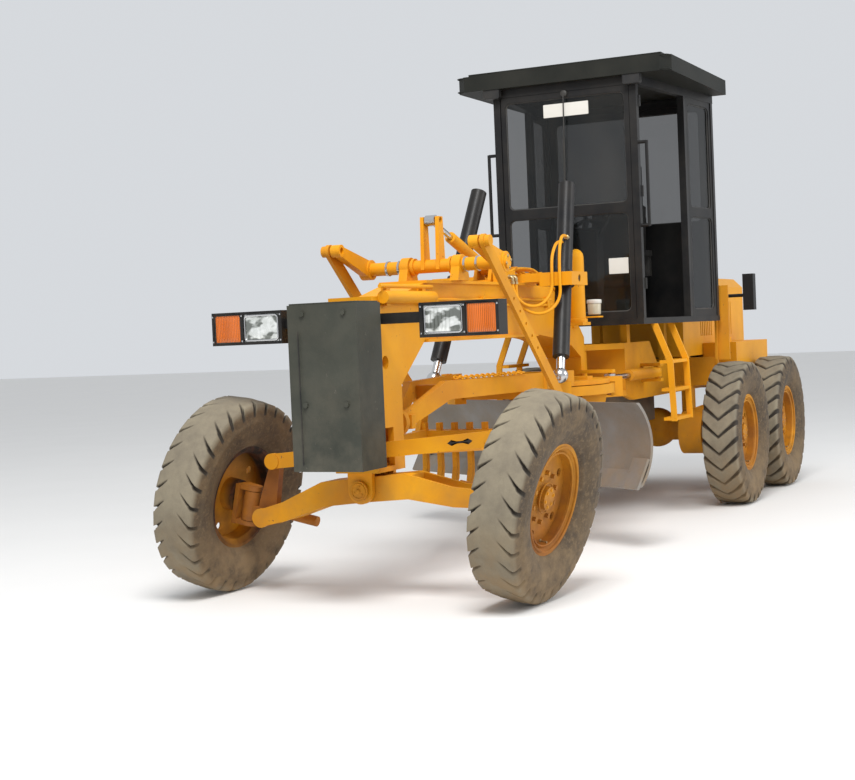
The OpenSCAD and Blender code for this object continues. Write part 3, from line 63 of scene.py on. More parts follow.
# Finishes

class Graph:
    """Short names for a material's nodes and links."""

    def __init__(self, name):
        self.material = bpy.data.materials.new(name)
        self.material.use_nodes = True
        self.tree = self.material.node_tree
        self.shader = self.tree.nodes["Principled BSDF"]
        self.place = self.tree.nodes.new("ShaderNodeTexCoord").outputs["Object"]

    def add(self, kind, **values):
        node = self.tree.nodes.new(kind)
        for key, value in values.items():
            setattr(node, key, value)
        return node

    def link(self, start, end):
        self.tree.links.new(start, end)

    def fixed(self, **values):
        """Constants on the shader's own sockets; an underscore stands for a blank."""
        for key, value in values.items():
            self.shader.inputs[key.replace("_", " ")].default_value = value

    def colour(self, source):
        self.link(source, self.shader.inputs["Base Color"])

    def noise(self, scale, detail=4.0, rough=0.55, stretch=None):
        """Fractal noise over the piece's own coordinates, from 0 to 1."""
        node = self.add("ShaderNodeTexNoise")
        node.inputs["Scale"].default_value = scale
        node.inputs["Detail"].default_value = detail
        node.inputs["Roughness"].default_value = rough
        source = self.place
        if stretch:
            mapping = self.add("ShaderNodeMapping")
            mapping.inputs["Scale"].default_value = stretch
            self.link(source, mapping.inputs["Vector"])
            source = mapping.outputs["Vector"]
        self.link(source, node.inputs["Vector"])
        return node.outputs["Fac"]

    def span(self, value, low, high, out_low=0.0, out_high=1.0):
        """Straight rise of a value between low and high, clamped at both ends."""
        node = self.add("ShaderNodeMapRange", clamp=True)
        for key, number in (("From Min", low), ("From Max", high), ("To Min", out_low), ("To Max", out_high)):
            node.inputs[key].default_value = number
        self.link(value, node.inputs["Value"])
        return node.outputs["Result"]

    def math(self, kind, first, second):
        node = self.add("ShaderNodeMath", operation=kind, use_clamp=True)
        for slot, value in zip(node.inputs, (first, second)):
            if isinstance(value, (int, float)):
                slot.default_value = value
            else:
                self.link(value, slot)
        return node.outputs[0]

    def mix(self, share, first, second):
        """Colour between first and second by share."""
        node = self.add("ShaderNodeMix", data_type="RGBA")
        self.link(share, node.inputs[0])
        for slot, value in zip((node.inputs[6], node.inputs[7]), (first, second)):
            if isinstance(value, tuple):
                slot.default_value = (*value, 1.0)
            else:
                self.link(value, slot)
        return node.outputs[2]

    def along(self, letter):
        """One of the piece's own coordinates."""
        node = self.add("ShaderNodeSeparateXYZ")
        self.link(self.place, node.inputs[0])
        return node.outputs[letter]

    def reach_across(self):
        """Distance from the machine's middle plane."""
        node = self.add("ShaderNodeMath", operation="ABSOLUTE")
        self.link(self.along("Y"), node.inputs[0])
        return node.outputs[0]

    def bump(self, value, depth):
        node = self.add("ShaderNodeBump")
        node.inputs["Distance"].default_value = depth
        node.inputs["Strength"].default_value = 1.0
        self.link(value, node.inputs["Height"])
        self.link(node.outputs["Normal"], self.shader.inputs["Normal"])


SOIL = (0.30, 0.215, 0.13)
PALE_DUST = (0.46, 0.38, 0.27)
# Rim insides: red rust patches are real rust; the near-black colour is partly rust and partly painted shade
DARK_RUST_AND_SHADE, RED_RUST = (0.016, 0.010, 0.007), (0.085, 0.030, 0.012)
STACK_BLACK = (0.012, 0.012, 0.012)
DUST_END = 0.15  # height at which the rise of dust towards the ground is full
ROUGHEST = 0.92


def finish(name, base, worn, rough, metal=0.0, dust=0.3, dust_top=1.0, soil=SOIL, chips=None,
           grain=90.0, depth=0.0006, coat=0.0, shine=0.5, inner=None, dark_past=None):
    """Paint or metal. Its base drifts to worn in broad clouds, with chips and with dust below dust_top.

    inner: distance from the middle plane under which the piece is rusty and also darkened with painted shade,
    as inside a front rim.
    dark_past: distance across and height beyond which the piece is painted black.
    """
    g = Graph(name)
    colour = g.mix(g.span(g.noise(1.7), 0.35, 0.68), base, worn)
    fine = g.noise(grain, 3.0)
    if chips:
        spots = g.span(g.noise(23.0, 6.0, 0.7), 0.665, 0.70)
        colour = g.mix(spots, colour, chips)
    low = g.span(g.along("Z"), dust_top, DUST_END)
    cloud = g.span(g.noise(5.0, 7.0, 0.62), 0.36, 0.66)
    share = g.math("MULTIPLY", g.math("ADD", g.math("MULTIPLY", low, 0.85), 0.22), cloud)
    share = g.math("MULTIPLY", share, dust)
    colour = g.mix(share, colour, soil)
    if inner:
        # Painted shade and real rust: nearer the middle than inner the piece turns near-black rust, standing
        # in for the shade inside the rim
        inside = g.span(g.reach_across(), inner, inner - 0.06)
        patches = g.span(g.noise(14.0, 5.0, 0.65), 0.42, 0.60)
        colour = g.mix(inside, colour, g.mix(patches, DARK_RUST_AND_SHADE, RED_RUST))
    if dark_past:
        wide, high = dark_past
        beyond = g.math("MAXIMUM", g.math("GREATER_THAN", g.reach_across(), wide),
                        g.math("GREATER_THAN", g.along("Z"), high))
        colour = g.mix(beyond, colour, STACK_BLACK)
    g.colour(colour)
    uneven = g.math("ADD", share, g.math("MULTIPLY", fine, 0.25))
    g.link(g.span(uneven, 0.0, 1.0, rough, ROUGHEST), g.shader.inputs["Roughness"])
    g.fixed(Metallic=metal, Coat_Weight=coat, Coat_Roughness=0.15, Specular_IOR_Level=shine)
    g.bump(fine, depth)
    return g.material


def window_glass(name, tint, alpha):
    """Thin tinted pane: part see-through, part smooth gloss, with faint smears."""
    g = Graph(name)
    smear = g.span(g.noise(3.0, 4.0, 0.6, (1, 1, 0.4)), 0.45, 0.75, 0.0, 0.035)
    g.colour(g.mix(smear, tint, PALE_DUST))
    g.fixed(Roughness=0.06, Alpha=alpha, IOR=1.5)
    return g.material


def ribbed_lens(name, colour, pitch):
    """Moulded lens: upright ribs as a wave across the machine, over a bright inside; the ribs' shade is
    painted as darker bands of the lens colour.
    """
    g = Graph(name)
    wave = g.add("ShaderNodeTexWave", wave_type="BANDS", bands_direction="Y")
    wave.inputs["Scale"].default_value = pitch
    g.link(g.place, wave.inputs["Vector"])
    # Painted shade: every other band of the wave is the lens colour darkened
    rib_painted_shade = tuple(0.62 * c for c in colour)
    g.colour(g.mix(wave.outputs["Fac"], rib_painted_shade, colour))
    g.fixed(Roughness=0.12, Metallic=0.0, Coat_Weight=0.8)
    g.bump(wave.outputs["Fac"], 0.003)
    return g.material


def reflector_glass(name):
    """Headlamp seen through its glass: a painted highlight in the reflector, with soft shapes of the
    surroundings painted in as a reflection.
    """
    g = Graph(name)
    # Painted reflection: soft shapes of the surroundings painted into the glass
    painted_reflection = g.span(g.noise(9.0, 2.0, 0.5, (1.0, 1.0, 1.8)), 0.50, 0.58)
    bright = g.span(g.noise(16.0, 3.0, 0.6), 0.35, 0.65)
    # Painted highlight: the reflector painted pale grey to near white
    painted_reflector_glint = g.mix(bright, (0.62, 0.64, 0.60), (0.92, 0.93, 0.90))
    g.colour(g.mix(painted_reflection, painted_reflector_glint, (0.16, 0.17, 0.15)))
    g.fixed(Metallic=0.5, Roughness=0.12, Coat_Weight=1.0, Coat_Roughness=0.04)
    return g.material


def tyre_rubber(name):
    """Tyre: pale worn tread face, painted shade in the grooves, brown dust caked on the walls and mud low
    down.
    """
    g = Graph(name)
    cloud = g.span(g.noise(5.0, 8.0, 0.65), 0.34, 0.66)
    fine = g.noise(120.0, 3.0)
    wall = g.mix(cloud, (0.052, 0.038, 0.026), (0.135, 0.090, 0.046))
    crust = g.span(g.noise(38.0, 5.0, 0.7), 0.50, 0.64, 0.0, 0.6)
    wall = g.mix(crust, wall, (0.19, 0.13, 0.07))
    face = g.mix(cloud, (0.165, 0.138, 0.098), (0.250, 0.212, 0.145))
    worn = g.add("ShaderNodeAttribute", attribute_name="tread_face").outputs["Fac"]
    sunk = g.add("ShaderNodeAttribute", attribute_name="groove_painted_shade").outputs["Fac"]
    colour = g.mix(worn, wall, face)
    # Painted shade: the grooves are darkened to near black by their depth
    colour = g.mix(sunk, colour, (0.030, 0.023, 0.016))
    patches = g.span(g.noise(7.0, 6.0, 0.6), 0.38, 0.58, 0.2, 0.9)
    muddy = g.math("MULTIPLY", g.span(g.along("Z"), 0.62, 0.10), patches)
    g.colour(g.mix(muddy, colour, (0.235, 0.158, 0.080)))
    g.link(g.span(fine, 0.3, 0.7, 0.75, 0.95), g.shader.inputs["Roughness"])
    g.bump(fine, 0.0010)
    return g.material


YELLOW = (0.79, 0.345, 0.003)
HOOD_SIDE, HOOD_TOP = 0.452, 2.0803  # past these are the black stack, air cleaner and side boxes
FINISH = {
    "yellow": finish("grader_yellow", YELLOW, (0.67, 0.270, 0.004), 0.44, dust=0.42,
                     chips=(0.24, 0.10, 0.02), coat=0.05, shine=0.20),
    "hood": finish("hood_yellow", YELLOW, (0.68, 0.285, 0.005), 0.42, dust=0.42,
                   chips=(0.24, 0.10, 0.02), coat=0.05, shine=0.20, dark_past=(HOOD_SIDE, HOOD_TOP)),
    "low_yellow": finish("dusty_yellow", (0.74, 0.325, 0.006), (0.56, 0.215, 0.010), 0.52, shine=0.20,
                         dust=0.62, dust_top=0.9, soil=(0.26, 0.15, 0.06), chips=(0.16, 0.07, 0.03)),
    "rim": finish("rim_orange", (0.62, 0.27, 0.006), (0.40, 0.14, 0.010), 0.55, shine=0.35, dust=0.75,
                  dust_top=1.3, soil=(0.20, 0.085, 0.03), chips=(0.12, 0.045, 0.02), inner=0.97),
    "front_rim": finish("front_rim_orange", (0.60, 0.26, 0.006), (0.36, 0.12, 0.010), 0.55, shine=0.35,
                        dust=0.75, dust_top=1.3, soil=(0.16, 0.065, 0.025), chips=(0.10, 0.040, 0.02),
                        inner=1.07),
    "greasy": finish("greasy_yellow", (0.56, 0.20, 0.008), (0.22, 0.070, 0.012), 0.50, shine=0.4,
                     dust=0.8, dust_top=1.1, soil=(0.10, 0.038, 0.016), chips=(0.03, 0.018, 0.012)),
    "black": finish("cab_black", (0.0065, 0.0065, 0.0075), (0.012, 0.012, 0.012), 0.38, dust=0.10,
                    dust_top=1.9, soil=PALE_DUST, coat=0.05, shine=0.22),
    "box": finish("nose_box_grey", (0.030, 0.032, 0.024), (0.050, 0.052, 0.040), 0.50, dust=0.18,
                  dust_top=1.5, soil=PALE_DUST, chips=(0.11, 0.10, 0.08), shine=0.3),
    "roof": finish("roof_olive", (0.012, 0.013, 0.011), (0.022, 0.022, 0.018), 0.5, dust=0.1,
                   dust_top=5.5, soil=(0.06, 0.056, 0.044), shine=0.14),
    "blade": finish("moldboard_steel", (0.27, 0.255, 0.235), (0.19, 0.165, 0.135), 0.40, metal=0.5,
                    dust=0.85, dust_top=1.2, chips=(0.17, 0.09, 0.045), grain=60.0),
    "rod": finish("cylinder_chrome", (0.62, 0.62, 0.62), (0.52, 0.52, 0.53), 0.12, metal=1.0, dust=0.12,
                  dust_top=1.5),
    "cast": finish("cast_casing", (0.13, 0.11, 0.09), (0.19, 0.15, 0.10), 0.7, dust=0.7, dust_top=1.6,
                   chips=(0.30, 0.18, 0.05), depth=0.0015),
    "rubber": finish("hose_rubber", (0.012, 0.012, 0.012), (0.022, 0.021, 0.020), 0.5, dust=0.2,
                     dust_top=2.4, soil=PALE_DUST),
    "plastic": finish("moulded_black", (0.010, 0.010, 0.011), (0.016, 0.016, 0.016), 0.5, dust=0.15,
                      dust_top=2.6, soil=PALE_DUST, shine=0.35),
    "seat": finish("seat_vinyl", (0.012, 0.012, 0.013), (0.02, 0.02, 0.019), 0.55, dust=0.12,
                   dust_top=2.6, soil=PALE_DUST, grain=220.0, depth=0.0012),
    "white": finish("bare_white_plate", (0.72, 0.70, 0.65), (0.60, 0.58, 0.52), 0.5, dust=0.15,
                    dust_top=3.0, soil=PALE_DUST),
    "brass": finish("plated_nut", (0.50, 0.40, 0.22), (0.36, 0.27, 0.14), 0.35, metal=0.9, dust=0.3,
                    dust_top=1.5),
    "jar": finish("jar_plastic", (0.50, 0.45, 0.33), (0.38, 0.32, 0.21), 0.35, dust=0.35, dust_top=2.0,
                  soil=PALE_DUST, coat=0.3),
    "glass": window_glass("cab_pane", (0.004, 0.005, 0.005), 0.55),
    "lamp": reflector_glass("headlamp_lens"),
    "amber": ribbed_lens("amber_lens", (0.74, 0.155, 0.003), 26.0),
    "tyre": tyre_rubber("dusty_tyre"),
}

# Starts of the nodes' names that take each finish
NODE_FINISH = {
    "greasy": ("lean_yoke", "knuckle"),
    "low_yellow": ("front_axle", "lean_bar", "drawbar", "circle_ring", "blade_arms",
                   "scarifier", "tandem_cases", "swing_barrel", "rear_frame", "bulkhead"),
    "hood": ("hood",), "rim": ("rim_",), "front_rim": ("front_rim",),
    "black": ("cab_frame", "cab_panels", "lamp_housings", "rear_grille", "lift_barrel"),
    "box": ("nose_box",), "roof": ("cab_roof",), "blade": ("moldboard", "cutting_edges"),
    "rod": ("steer_rod", "lift_rod", "swing_rod", "scarifier_rod"),
    "cast": ("transmission", "engine_block"), "plastic": ("console",), "seat": ("seat",),
    "glass": ("cab_glass",), "lamp": ("headlamps",), "amber": ("indicators",),
    "tyre": ("tyre_", "front_tyre"),
}


def finish_of(node):
    """Longest matching start of the node's name decides; the rest of the machine is yellow."""
    fits = [(len(start), key) for key, starts in NODE_FINISH.items() for start in starts
            if node.startswith(start)]
    return FINISH[max(fits)[1] if fits else "yellow"]


for node_name, node_object in NODES.items():
    node_object.data.materials.clear()
    node_object.data.materials.append(finish_of(node_name))


# Closed skins, each a pair of points and triangles

def joint(name):
    """Place and unit axis of a joint as stored with the part."""
    entry = next(j for j in frame["joints"] if j["name"] == name)
    axis = np.array(entry["axis"], float)
    return np.array(entry.get("pos_m", (0, 0, 0)), float), axis / np.linalg.norm(axis)


def smooth(low, high, value):
    """S-curve from 0 at low to 1 at high: 3t^2 - 2t^3."""
    t = np.clip((value - low) / (high - low), 0.0, 1.0)
    return t * t * (3.0 - 2.0 * t)


def unit(v):
    v = np.asarray(v, float)
    return v / np.linalg.norm(v)


def one_turn(count):
    """Even angles over one turn, as a column."""
    return np.linspace(0.0, 2 * math.pi, count, endpoint=False)[:, None]


def across_of(axis):
    """Two unit directions square to the axis."""
    axis = unit(axis)
    side = unit(np.cross(axis, Z_AXIS if abs(axis[2]) < 0.9 else X_AXIS))
    return side, np.cross(axis, side)


def circle_round(centre, axis, reach, radius, count):
    """Circle square to the axis, its middle at a reach along it from the centre."""
    side, high = across_of(axis)
    angle = one_turn(count)
    return centre + reach * np.asarray(axis) + radius * (np.cos(angle) * side + np.sin(angle) * high)


def torus_faces(around, across):
    """Quads of a grid that closes on itself both ways."""
    i, j = np.meshgrid(np.arange(around), np.arange(across), indexing="ij")
    k, m = (i + 1) % around, (j + 1) % across
    return np.stack([i * across + j, k * across + j, k * across + m, i * across + m], -1).reshape(-1, 4)


def outward(points, quads, *caps):
    """Skin of the quads and caps in triangles, turned over where they enclose a negative volume."""
    faces = np.vstack([quads[:, [0, 1, 2]], quads[:, [0, 2, 3]], *caps])
    a, b, c = (points[faces[:, s]] for s in range(3))
    return points, faces if np.einsum("ij,ij->", a, np.cross(b, c)) > 0 else faces[:, ::-1]


def loft(rings):
    """Skin over a stack of rings, shape (rows, around, 3); a fan to its ring's middle closes each end."""
    rings = np.asarray(rings, float)
    rows, around = rings.shape[:2]
    i, j = np.meshgrid(np.arange(rows - 1), np.arange(around), indexing="ij")
    row, m = i * around, (j + 1) % around
    quads = np.stack([row + j, row + m, row + around + m, row + around + j], -1).reshape(-1, 4)
    k, n, last = np.arange(around), (np.arange(around) + 1) % around, (rows - 1) * around
    low = np.stack([n, k, np.full(around, rows * around)], -1)
    top = np.stack([last + k, last + n, np.full(around, rows * around + 1)], -1)
    points = np.vstack([rings.reshape(-1, 3), rings[0].mean(0), rings[-1].mean(0)])
    return outward(points, quads, low, top)


def turned(profile, place, axis, around=20):
    """Solid of revolution: for each (along, radius) a circle of the radius at place + along * axis."""
    side, high = across_of(axis)
    angle = one_turn(around)
    circle = np.cos(angle) * side + np.sin(angle) * high
    along, radius = np.array(profile, float).T
    middle = np.asarray(place, float) + along[:, None, None] * unit(axis)
    return loft(middle + radius[:, None, None] * circle)


def swept(path, ahead, side, radius, around):
    """Circles of the radius round each point of a path, square to the way ahead."""
    high, angle = np.cross(ahead, side), one_turn(around)[None]
    return path[:, None] + radius * (np.cos(angle) * side[:, None] + np.sin(angle) * high[:, None])


def tube(path, radius, around=12):
    """Round tube along an open path; its sides start from the world axis that the path follows least."""
    path = np.asarray(path, float)
    ahead = np.gradient(path, axis=0)
    ahead /= np.linalg.norm(ahead, axis=1, keepdims=True)
    side = np.cross(ahead, np.eye(3)[np.argmin(np.abs(ahead).max(0))])
    side /= np.linalg.norm(side, axis=1, keepdims=True)
    return loft(swept(path, ahead, side, radius, around))


def hoop(ring, radius, around=8):
    """Closed round tube along a closed flat line."""
    ring = np.asarray(ring, float)
    ahead = np.roll(ring, -1, 0) - np.roll(ring, 1, 0)
    ahead /= np.linalg.norm(ahead, axis=1, keepdims=True)
    side = np.broadcast_to(unit(np.linalg.svd(ring - ring.mean(0))[2][2]), ring.shape)
    return outward(swept(ring, ahead, side, radius, around).reshape(-1, 3), torus_faces(len(ring), around))


def through(points, count):
    """Smooth line through the points: Catmull-Rom cubics with the first and last point doubled."""
    p = np.asarray(points, float)
    p = np.vstack([p[:1], p, p[-1:]])
    at = np.linspace(0.0, len(p) - 3 - 1e-9, count)
    k, t = at.astype(int), (at - at.astype(int))[:, None]
    a, b, c, d = p[k], p[k + 1], p[k + 2], p[k + 3]
    bend, twist = 2 * a - 5 * b + 4 * c - d, 3 * b - a - 3 * c + d
    return 0.5 * (2 * b + (c - a) * t + bend * t ** 2 + twist * t ** 3)


def round_outline(width, height, corner, steps=6):
    """Corners of a rectangle drawn as quarter circles of the corner radius, as (across, up)."""
    angle = np.linspace(0.0, math.pi / 2, steps)
    quarter = np.concatenate([angle + turn * math.pi / 2 for turn in range(4)])
    signs = np.repeat([(1, 1), (-1, 1), (-1, -1), (1, -1)], steps, 0)
    middles = signs * (width / 2 - corner, height / 2 - corner)
    return middles + corner * np.stack([np.cos(quarter), np.sin(quarter)], -1)


def drawn_on(middle, across, up, flat):
    """Points of a flat drawing of (across, up) pairs, set in space."""
    return np.asarray(middle, float) + flat[:, :1] * np.asarray(across) + flat[:, 1:] * np.asarray(up)


def slab(middle, across, up, width, height, thick, corner=0.01, edge=0.002):
    """Plate with round corners and edges: its outline at four depths, drawn in by the edge at both faces."""
    across, up = unit(across), unit(up)
    out = np.cross(across, up)
    rings = []
    for depth, inset in ((0, edge), (edge, 0), (thick - edge, 0), (thick, edge)):
        flat = round_outline(width - 2 * inset, height - 2 * inset, max(corner - inset, 1e-4))
        rings.append(drawn_on(middle + depth * out, across, up, flat))
    return loft(rings)


def bolt(place, axis, size):
    """Hexagon head with a chamfered top on a round washer; size is half the head's width over corners."""
    head = turned([(0.0, size), (0.55 * size, size), (0.72 * size, 0.8 * size)], place, axis, 6)
    washer = [(-0.001, 1.35 * size), (0.12 * size, 1.35 * size), (0.16 * size, 1.2 * size)]
    return [head, turned(washer, place, axis, 18)]


BOLT_START = 0.3  # angle of the first bolt of a ring


def bolt_ring(centre, axis, radius, count, size):
    """Bolts at even angles on a circle round the axis."""
    side, high = across_of(axis)
    made = []
    for a in BOLT_START + np.arange(count) * 2 * math.pi / count:
        made += bolt(np.asarray(centre) + radius * (math.cos(a) * side + math.sin(a) * high), axis, size)
    return made


# Pieces

def piece_from(name, points, faces, material, body, replaces=None):
    """Mesh piece from arrays with its faces outwards by the sign of its volume; it rides the body, if one."""
    points, faces = np.asarray(points, float), np.asarray(faces, int)
    a, b, c = points[faces[:, 0]], points[faces[:, 1]], points[faces[:, 2]]
    volume = np.einsum("ij,ij->", a, np.cross(b, c))
    if faces.shape[1] == 4:
        volume += np.einsum("ij,ij->", a, np.cross(c, points[faces[:, 3]]))
    if volume < 0:
        faces = faces[:, ::-1]
    mesh = bpy.data.meshes.new(name)
    mesh.from_pydata(points.tolist(), [], faces.tolist())
    mesh.polygons.foreach_set("use_smooth", np.ones(len(mesh.polygons), bool))
    mesh.materials.append(material)
    piece = bpy.data.objects.new(name, mesh)
    bpy.context.collection.objects.link(piece)
    if body:
        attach(piece, body)
    if replaces:
        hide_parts(replaces)
    return piece


def made_of(name, shells, key, body, replaces=None, sharp=38.0):
    """One piece of several closed skins; edges steeper than the sharp angle stay crisp."""
    start = np.cumsum([0] + [len(points) for points, _ in shells[:-1]])
    points = np.vstack([s[0] for s in shells])
    faces = np.vstack([s[1] + k for s, k in zip(shells, start)])
    piece = piece_from(name, points, faces, FINISH[key], body, replaces)
    piece.data.set_sharp_from_angle(angle=math.radians(sharp))
    return piece


# Tyres

TYRE_R, TYRE_W, RIM_R = 0.640, 0.330, 0.335
# Lean of the bars in pitches over the width; the rear bars point the other way
LEAN_FRONT, LEAN_REAR = 2.3, -1.9
FRONT_PITCHES, REAR_PITCHES = 30, 26
LINES_A_PITCH, SECTION_POINTS = 22, 84


def corner_cut(profile):
    """Chaikin's rule once round a closed outline: each edge keeps its middle half."""
    after = np.roll(profile, -1, 0)
    return np.stack([0.75 * profile + 0.25 * after, 0.25 * profile + 0.75 * after], 1).reshape(-1, 2)


def tyre_outline():
    """Closed section as (radius, across): from one bead over the tread to the other and back inside."""
    wall = [(RIM_R - 0.010, 0.275), (RIM_R + 0.004, 0.330), (RIM_R + 0.026, 0.392), (RIM_R + 0.036, 0.415),
            (RIM_R + 0.046, 0.412), (RIM_R + 0.080, 0.470), (RIM_R + 0.130, 0.500), (RIM_R + 0.165, 0.499),
            (RIM_R + 0.172, 0.508), (RIM_R + 0.186, 0.508), (RIM_R + 0.194, 0.494),
            (TYRE_R - 0.075, 0.478), (TYRE_R - 0.035, 0.462), (TYRE_R - 0.010, 0.425)]
    crown = [(TYRE_R - 0.001 - 0.010 * (t / 0.38) ** 2, t) for t in (0.38, 0.30, 0.20, 0.10, 0.0)]
    half = np.array(wall + crown[:-1])
    other = half[::-1] * (1, -1)
    inner = np.array([(RIM_R - 0.008, -0.20), (RIM_R + 0.010, 0.0), (RIM_R - 0.008, 0.20)])
    return np.vstack([half, [crown[-1]], other, inner]) * (1.0, TYRE_W)


def resample(closed, count):
    """Even steps along a closed line."""
    ring = np.vstack([closed, closed[:1]])
    far = np.concatenate([[0.0], np.cumsum(np.linalg.norm(np.diff(ring, axis=0), axis=1))])
    at = np.linspace(0.0, far[-1], count, endpoint=False)
    return np.stack([np.interp(at, far, ring[:, k]) for k in (0, 1)], -1)


def front_grooves(turns, share):
    """Depth of the saw cuts that run in from both shoulders, half a pitch apart, and widen outwards.

    turns counts pitches along the tread; share is the distance from the middle over the tyre's width.
    """
    from_mid = turns + np.where(share > 0, 0.0, 0.5)
    from_mid = np.abs(from_mid - np.round(from_mid))
    share = np.abs(share)
    half_width = 0.022 + 0.075 * smooth(0.26, 0.48, share)
    mask = 1.0 - smooth(half_width, half_width + 0.035, from_mid)
    return mask * smooth(0.17, 0.23, share) * (0.012 + 0.024 * smooth(0.2, 0.44, share))


def rear_grooves(turns, share):
    """Depth between V bars: broad bars cut by narrow grooves that widen outwards."""
    from_mid = np.abs(turns - np.round(turns))
    half_width = 0.060 + 0.055 * smooth(0.05, 0.46, np.abs(share))
    mask = 1.0 - smooth(half_width, half_width + 0.05, from_mid)
    return mask * (0.016 + 0.014 * smooth(0.05, 0.40, np.abs(share)))


def tyre(name, spin, body, grooves, pitches, lean):
    """Ring swept round the wheel's axis: radius = outline - grooves where the section is tread.

    The grid's lines lean by lean * |share| pitches, as the bars do, so that a bar's edge follows a line.
    """
    centre, axis = joint(spin)
    around = LINES_A_PITCH * pitches
    section = resample(corner_cut(tyre_outline()), SECTION_POINTS)
    grid = one_turn(around)
    radius, width = section[None, :, 0] + 0 * grid, section[None, :, 1] + 0 * grid
    share = width / TYRE_W
    tread = smooth(TYRE_R - 0.095, TYRE_R - 0.030, radius)
    face = smooth(TYRE_R - 0.060, TYRE_R - 0.022, radius)
    angle = grid + lean * np.minimum(np.abs(share), 0.5) * 2 * math.pi / pitches
    sunk = grooves(grid * pitches / (2 * math.pi), share) * tread
    scuff = 0.0016 * np.sin(grid * 7 + width * 60) * np.sin(grid * 23 + 2.0) * tread
    radius = radius - sunk + scuff
    width = width * (1.0 - 0.35 * sunk)
    side, high = across_of(axis)
    points = (centre + width[..., None] * axis + (radius * np.cos(angle))[..., None] * side
              + (radius * np.sin(angle))[..., None] * high)
    piece = piece_from(name + "_tread", points.reshape(-1, 3), torus_faces(around, SECTION_POINTS),
                       FINISH["tyre"], body, name)
    # The second value is the groove depth, which the rubber's colour turns into painted shade in the grooves
    for key, values in (("tread_face", face), ("groove_painted_shade", np.clip(sunk / 0.016, 0.0, 1.0) ** 0.7)):
        store = piece.data.attributes.new(key, "FLOAT", "POINT")
        store.data.foreach_set("value", values.ravel().astype(np.float32))


for side in ("left", "right"):
    tyre("front_tyre_" + side, "front_spin_" + side, "front_wheel_" + side, front_grooves, FRONT_PITCHES,
         LEAN_FRONT)
    for row in ("mid", "rear"):
        key = row + "_" + side
        tyre("tyre_" + key, "spin_" + key, "wheel_" + key, rear_grooves, REAR_PITCHES, LEAN_REAR)


# Hoses and pipes on the gooseneck

VALVE_Y, HOSE_Z, HOSE_R = 0.234, 2.034, 0.0115
# Each hose: where it starts, where it turns up again (x, y), and how far it hangs before its half circle
HOSE_RUNS = ((1.716, 1.424, 0.430, 0.045), (1.650, 1.424, 0.490, 0.105))
LIFT_PORTS = ((1.158, 0.418, 2.292), (1.150, 0.446, 2.335))


def hose_path(start_x, turn_x, turn_y, drop, port):
    """Down from the elbow, half a circle under, up beside the cylinder and over into its port."""
    low = HOSE_Z - drop
    a, b = np.array([start_x, VALVE_Y]), np.array([turn_x, turn_y])
    half = np.linalg.norm(b - a) / 2
    angle = np.linspace(0.0, math.pi, 22)[:, None]
    flat = (a + b) / 2 - np.cos(angle) * (b - a) / 2
    loop = np.hstack([flat, low - half * np.sin(angle)])
    down = [[start_x, VALVE_Y, HOSE_Z - 0.022], [start_x, VALVE_Y, (HOSE_Z + low) / 2]]
    x, y, z = port
    up = through([loop[-1], (turn_x, turn_y, 2.08), (turn_x - 0.03, turn_y - 0.004, z - 0.11),
                  ((turn_x + x) / 2 + 0.02, (turn_y + y) / 2, z - 0.025),
                  (x + 0.05, y, z + 0.002), (x, y, z)], 24)
    return np.vstack([down, loop[:-1], up])


for number, (run, port) in enumerate(zip(HOSE_RUNS, LIFT_PORTS), 1):
    path = hose_path(*run, port)
    hose = made_of(f"lift_hose_{number}", [tube(path, HOSE_R, 14)], "yellow", None,
                   "neck_hoses")
    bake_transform(hose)

elbows = []
for start_x, *_ in HOSE_RUNS:
    bend = through([(start_x, 0.206, HOSE_Z), (start_x, 0.222, HOSE_Z - 0.001),
                    (start_x, 0.232, HOSE_Z - 0.008), (start_x, VALVE_Y, HOSE_Z - 0.020),
                    (start_x, VALVE_Y, HOSE_Z - 0.034)], 14)
    elbows.append(tube(bend, 0.0135, 16))
    elbows.append(turned([(0.0, 0.018), (0.016, 0.018)], (start_x, 0.200, HOSE_Z), Y_AXIS, 6))
    elbows.append(turned([(0.0, 0.0165), (0.018, 0.0165)], (start_x, VALVE_Y, HOSE_Z - 0.036), (0, 0, -1), 6))
made_of("hose_elbows", elbows, "brass", "front_body")
FITTING = [(-0.010, 0.020), (0.030, 0.020), (0.032, 0.016), (0.046, 0.016)]
made_of("lift_port_fittings",
        [turned(FITTING, np.array(port) - (0.045, 0, 0.01), (1.0, 0.0, 0.05), 6) for port in LIFT_PORTS],
        "brass", "lift_barrel_left")


def neck_top_line(y, lift, wave):
    """Pipe from the valve block over the cross beam and down the slope of the gooseneck's rear leg."""
    return through([(1.630, y, 2.050), (1.520, y + wave, 2.075 + lift), (1.400, y + 0.5 * wave, 2.092 + lift),
                    (1.220, y, 2.096 + lift), (1.040, y - wave, 2.088 + lift), (0.860, y, 2.030 + lift),
                    (0.740, y, 2.002 + lift), (0.600, y, 1.925 + lift), (0.400, y + wave, 1.822 + lift),
                    (0.190, y, 1.712 + lift)], 60)


# Each pipe's place across, its height over the lowest and how far it waves
NECK_PIPES = ((0.115, 0.000, 0.006), (0.085, 0.006, -0.010), (0.140, 0.010, 0.010), (0.050, 0.000, 0.012),
              (-0.010, 0.004, -0.008), (-0.060, 0.000, 0.008), (-0.105, 0.006, -0.006))
made_of("neck_top_pipes", [tube(neck_top_line(*pipe), 0.0105, 10) for pipe in NECK_PIPES],
        "yellow", "front_body")
made_of("pipe_clamps", [slab((x, 0.02, z), Y_AXIS, X_AXIS, 0.290, 0.030, -0.010, 0.006)
                        for x, z in ((1.450, 2.104), (0.960, 2.072))],
        "low_yellow", "front_body")


# Jar, cross tube and other small forms on the front frame

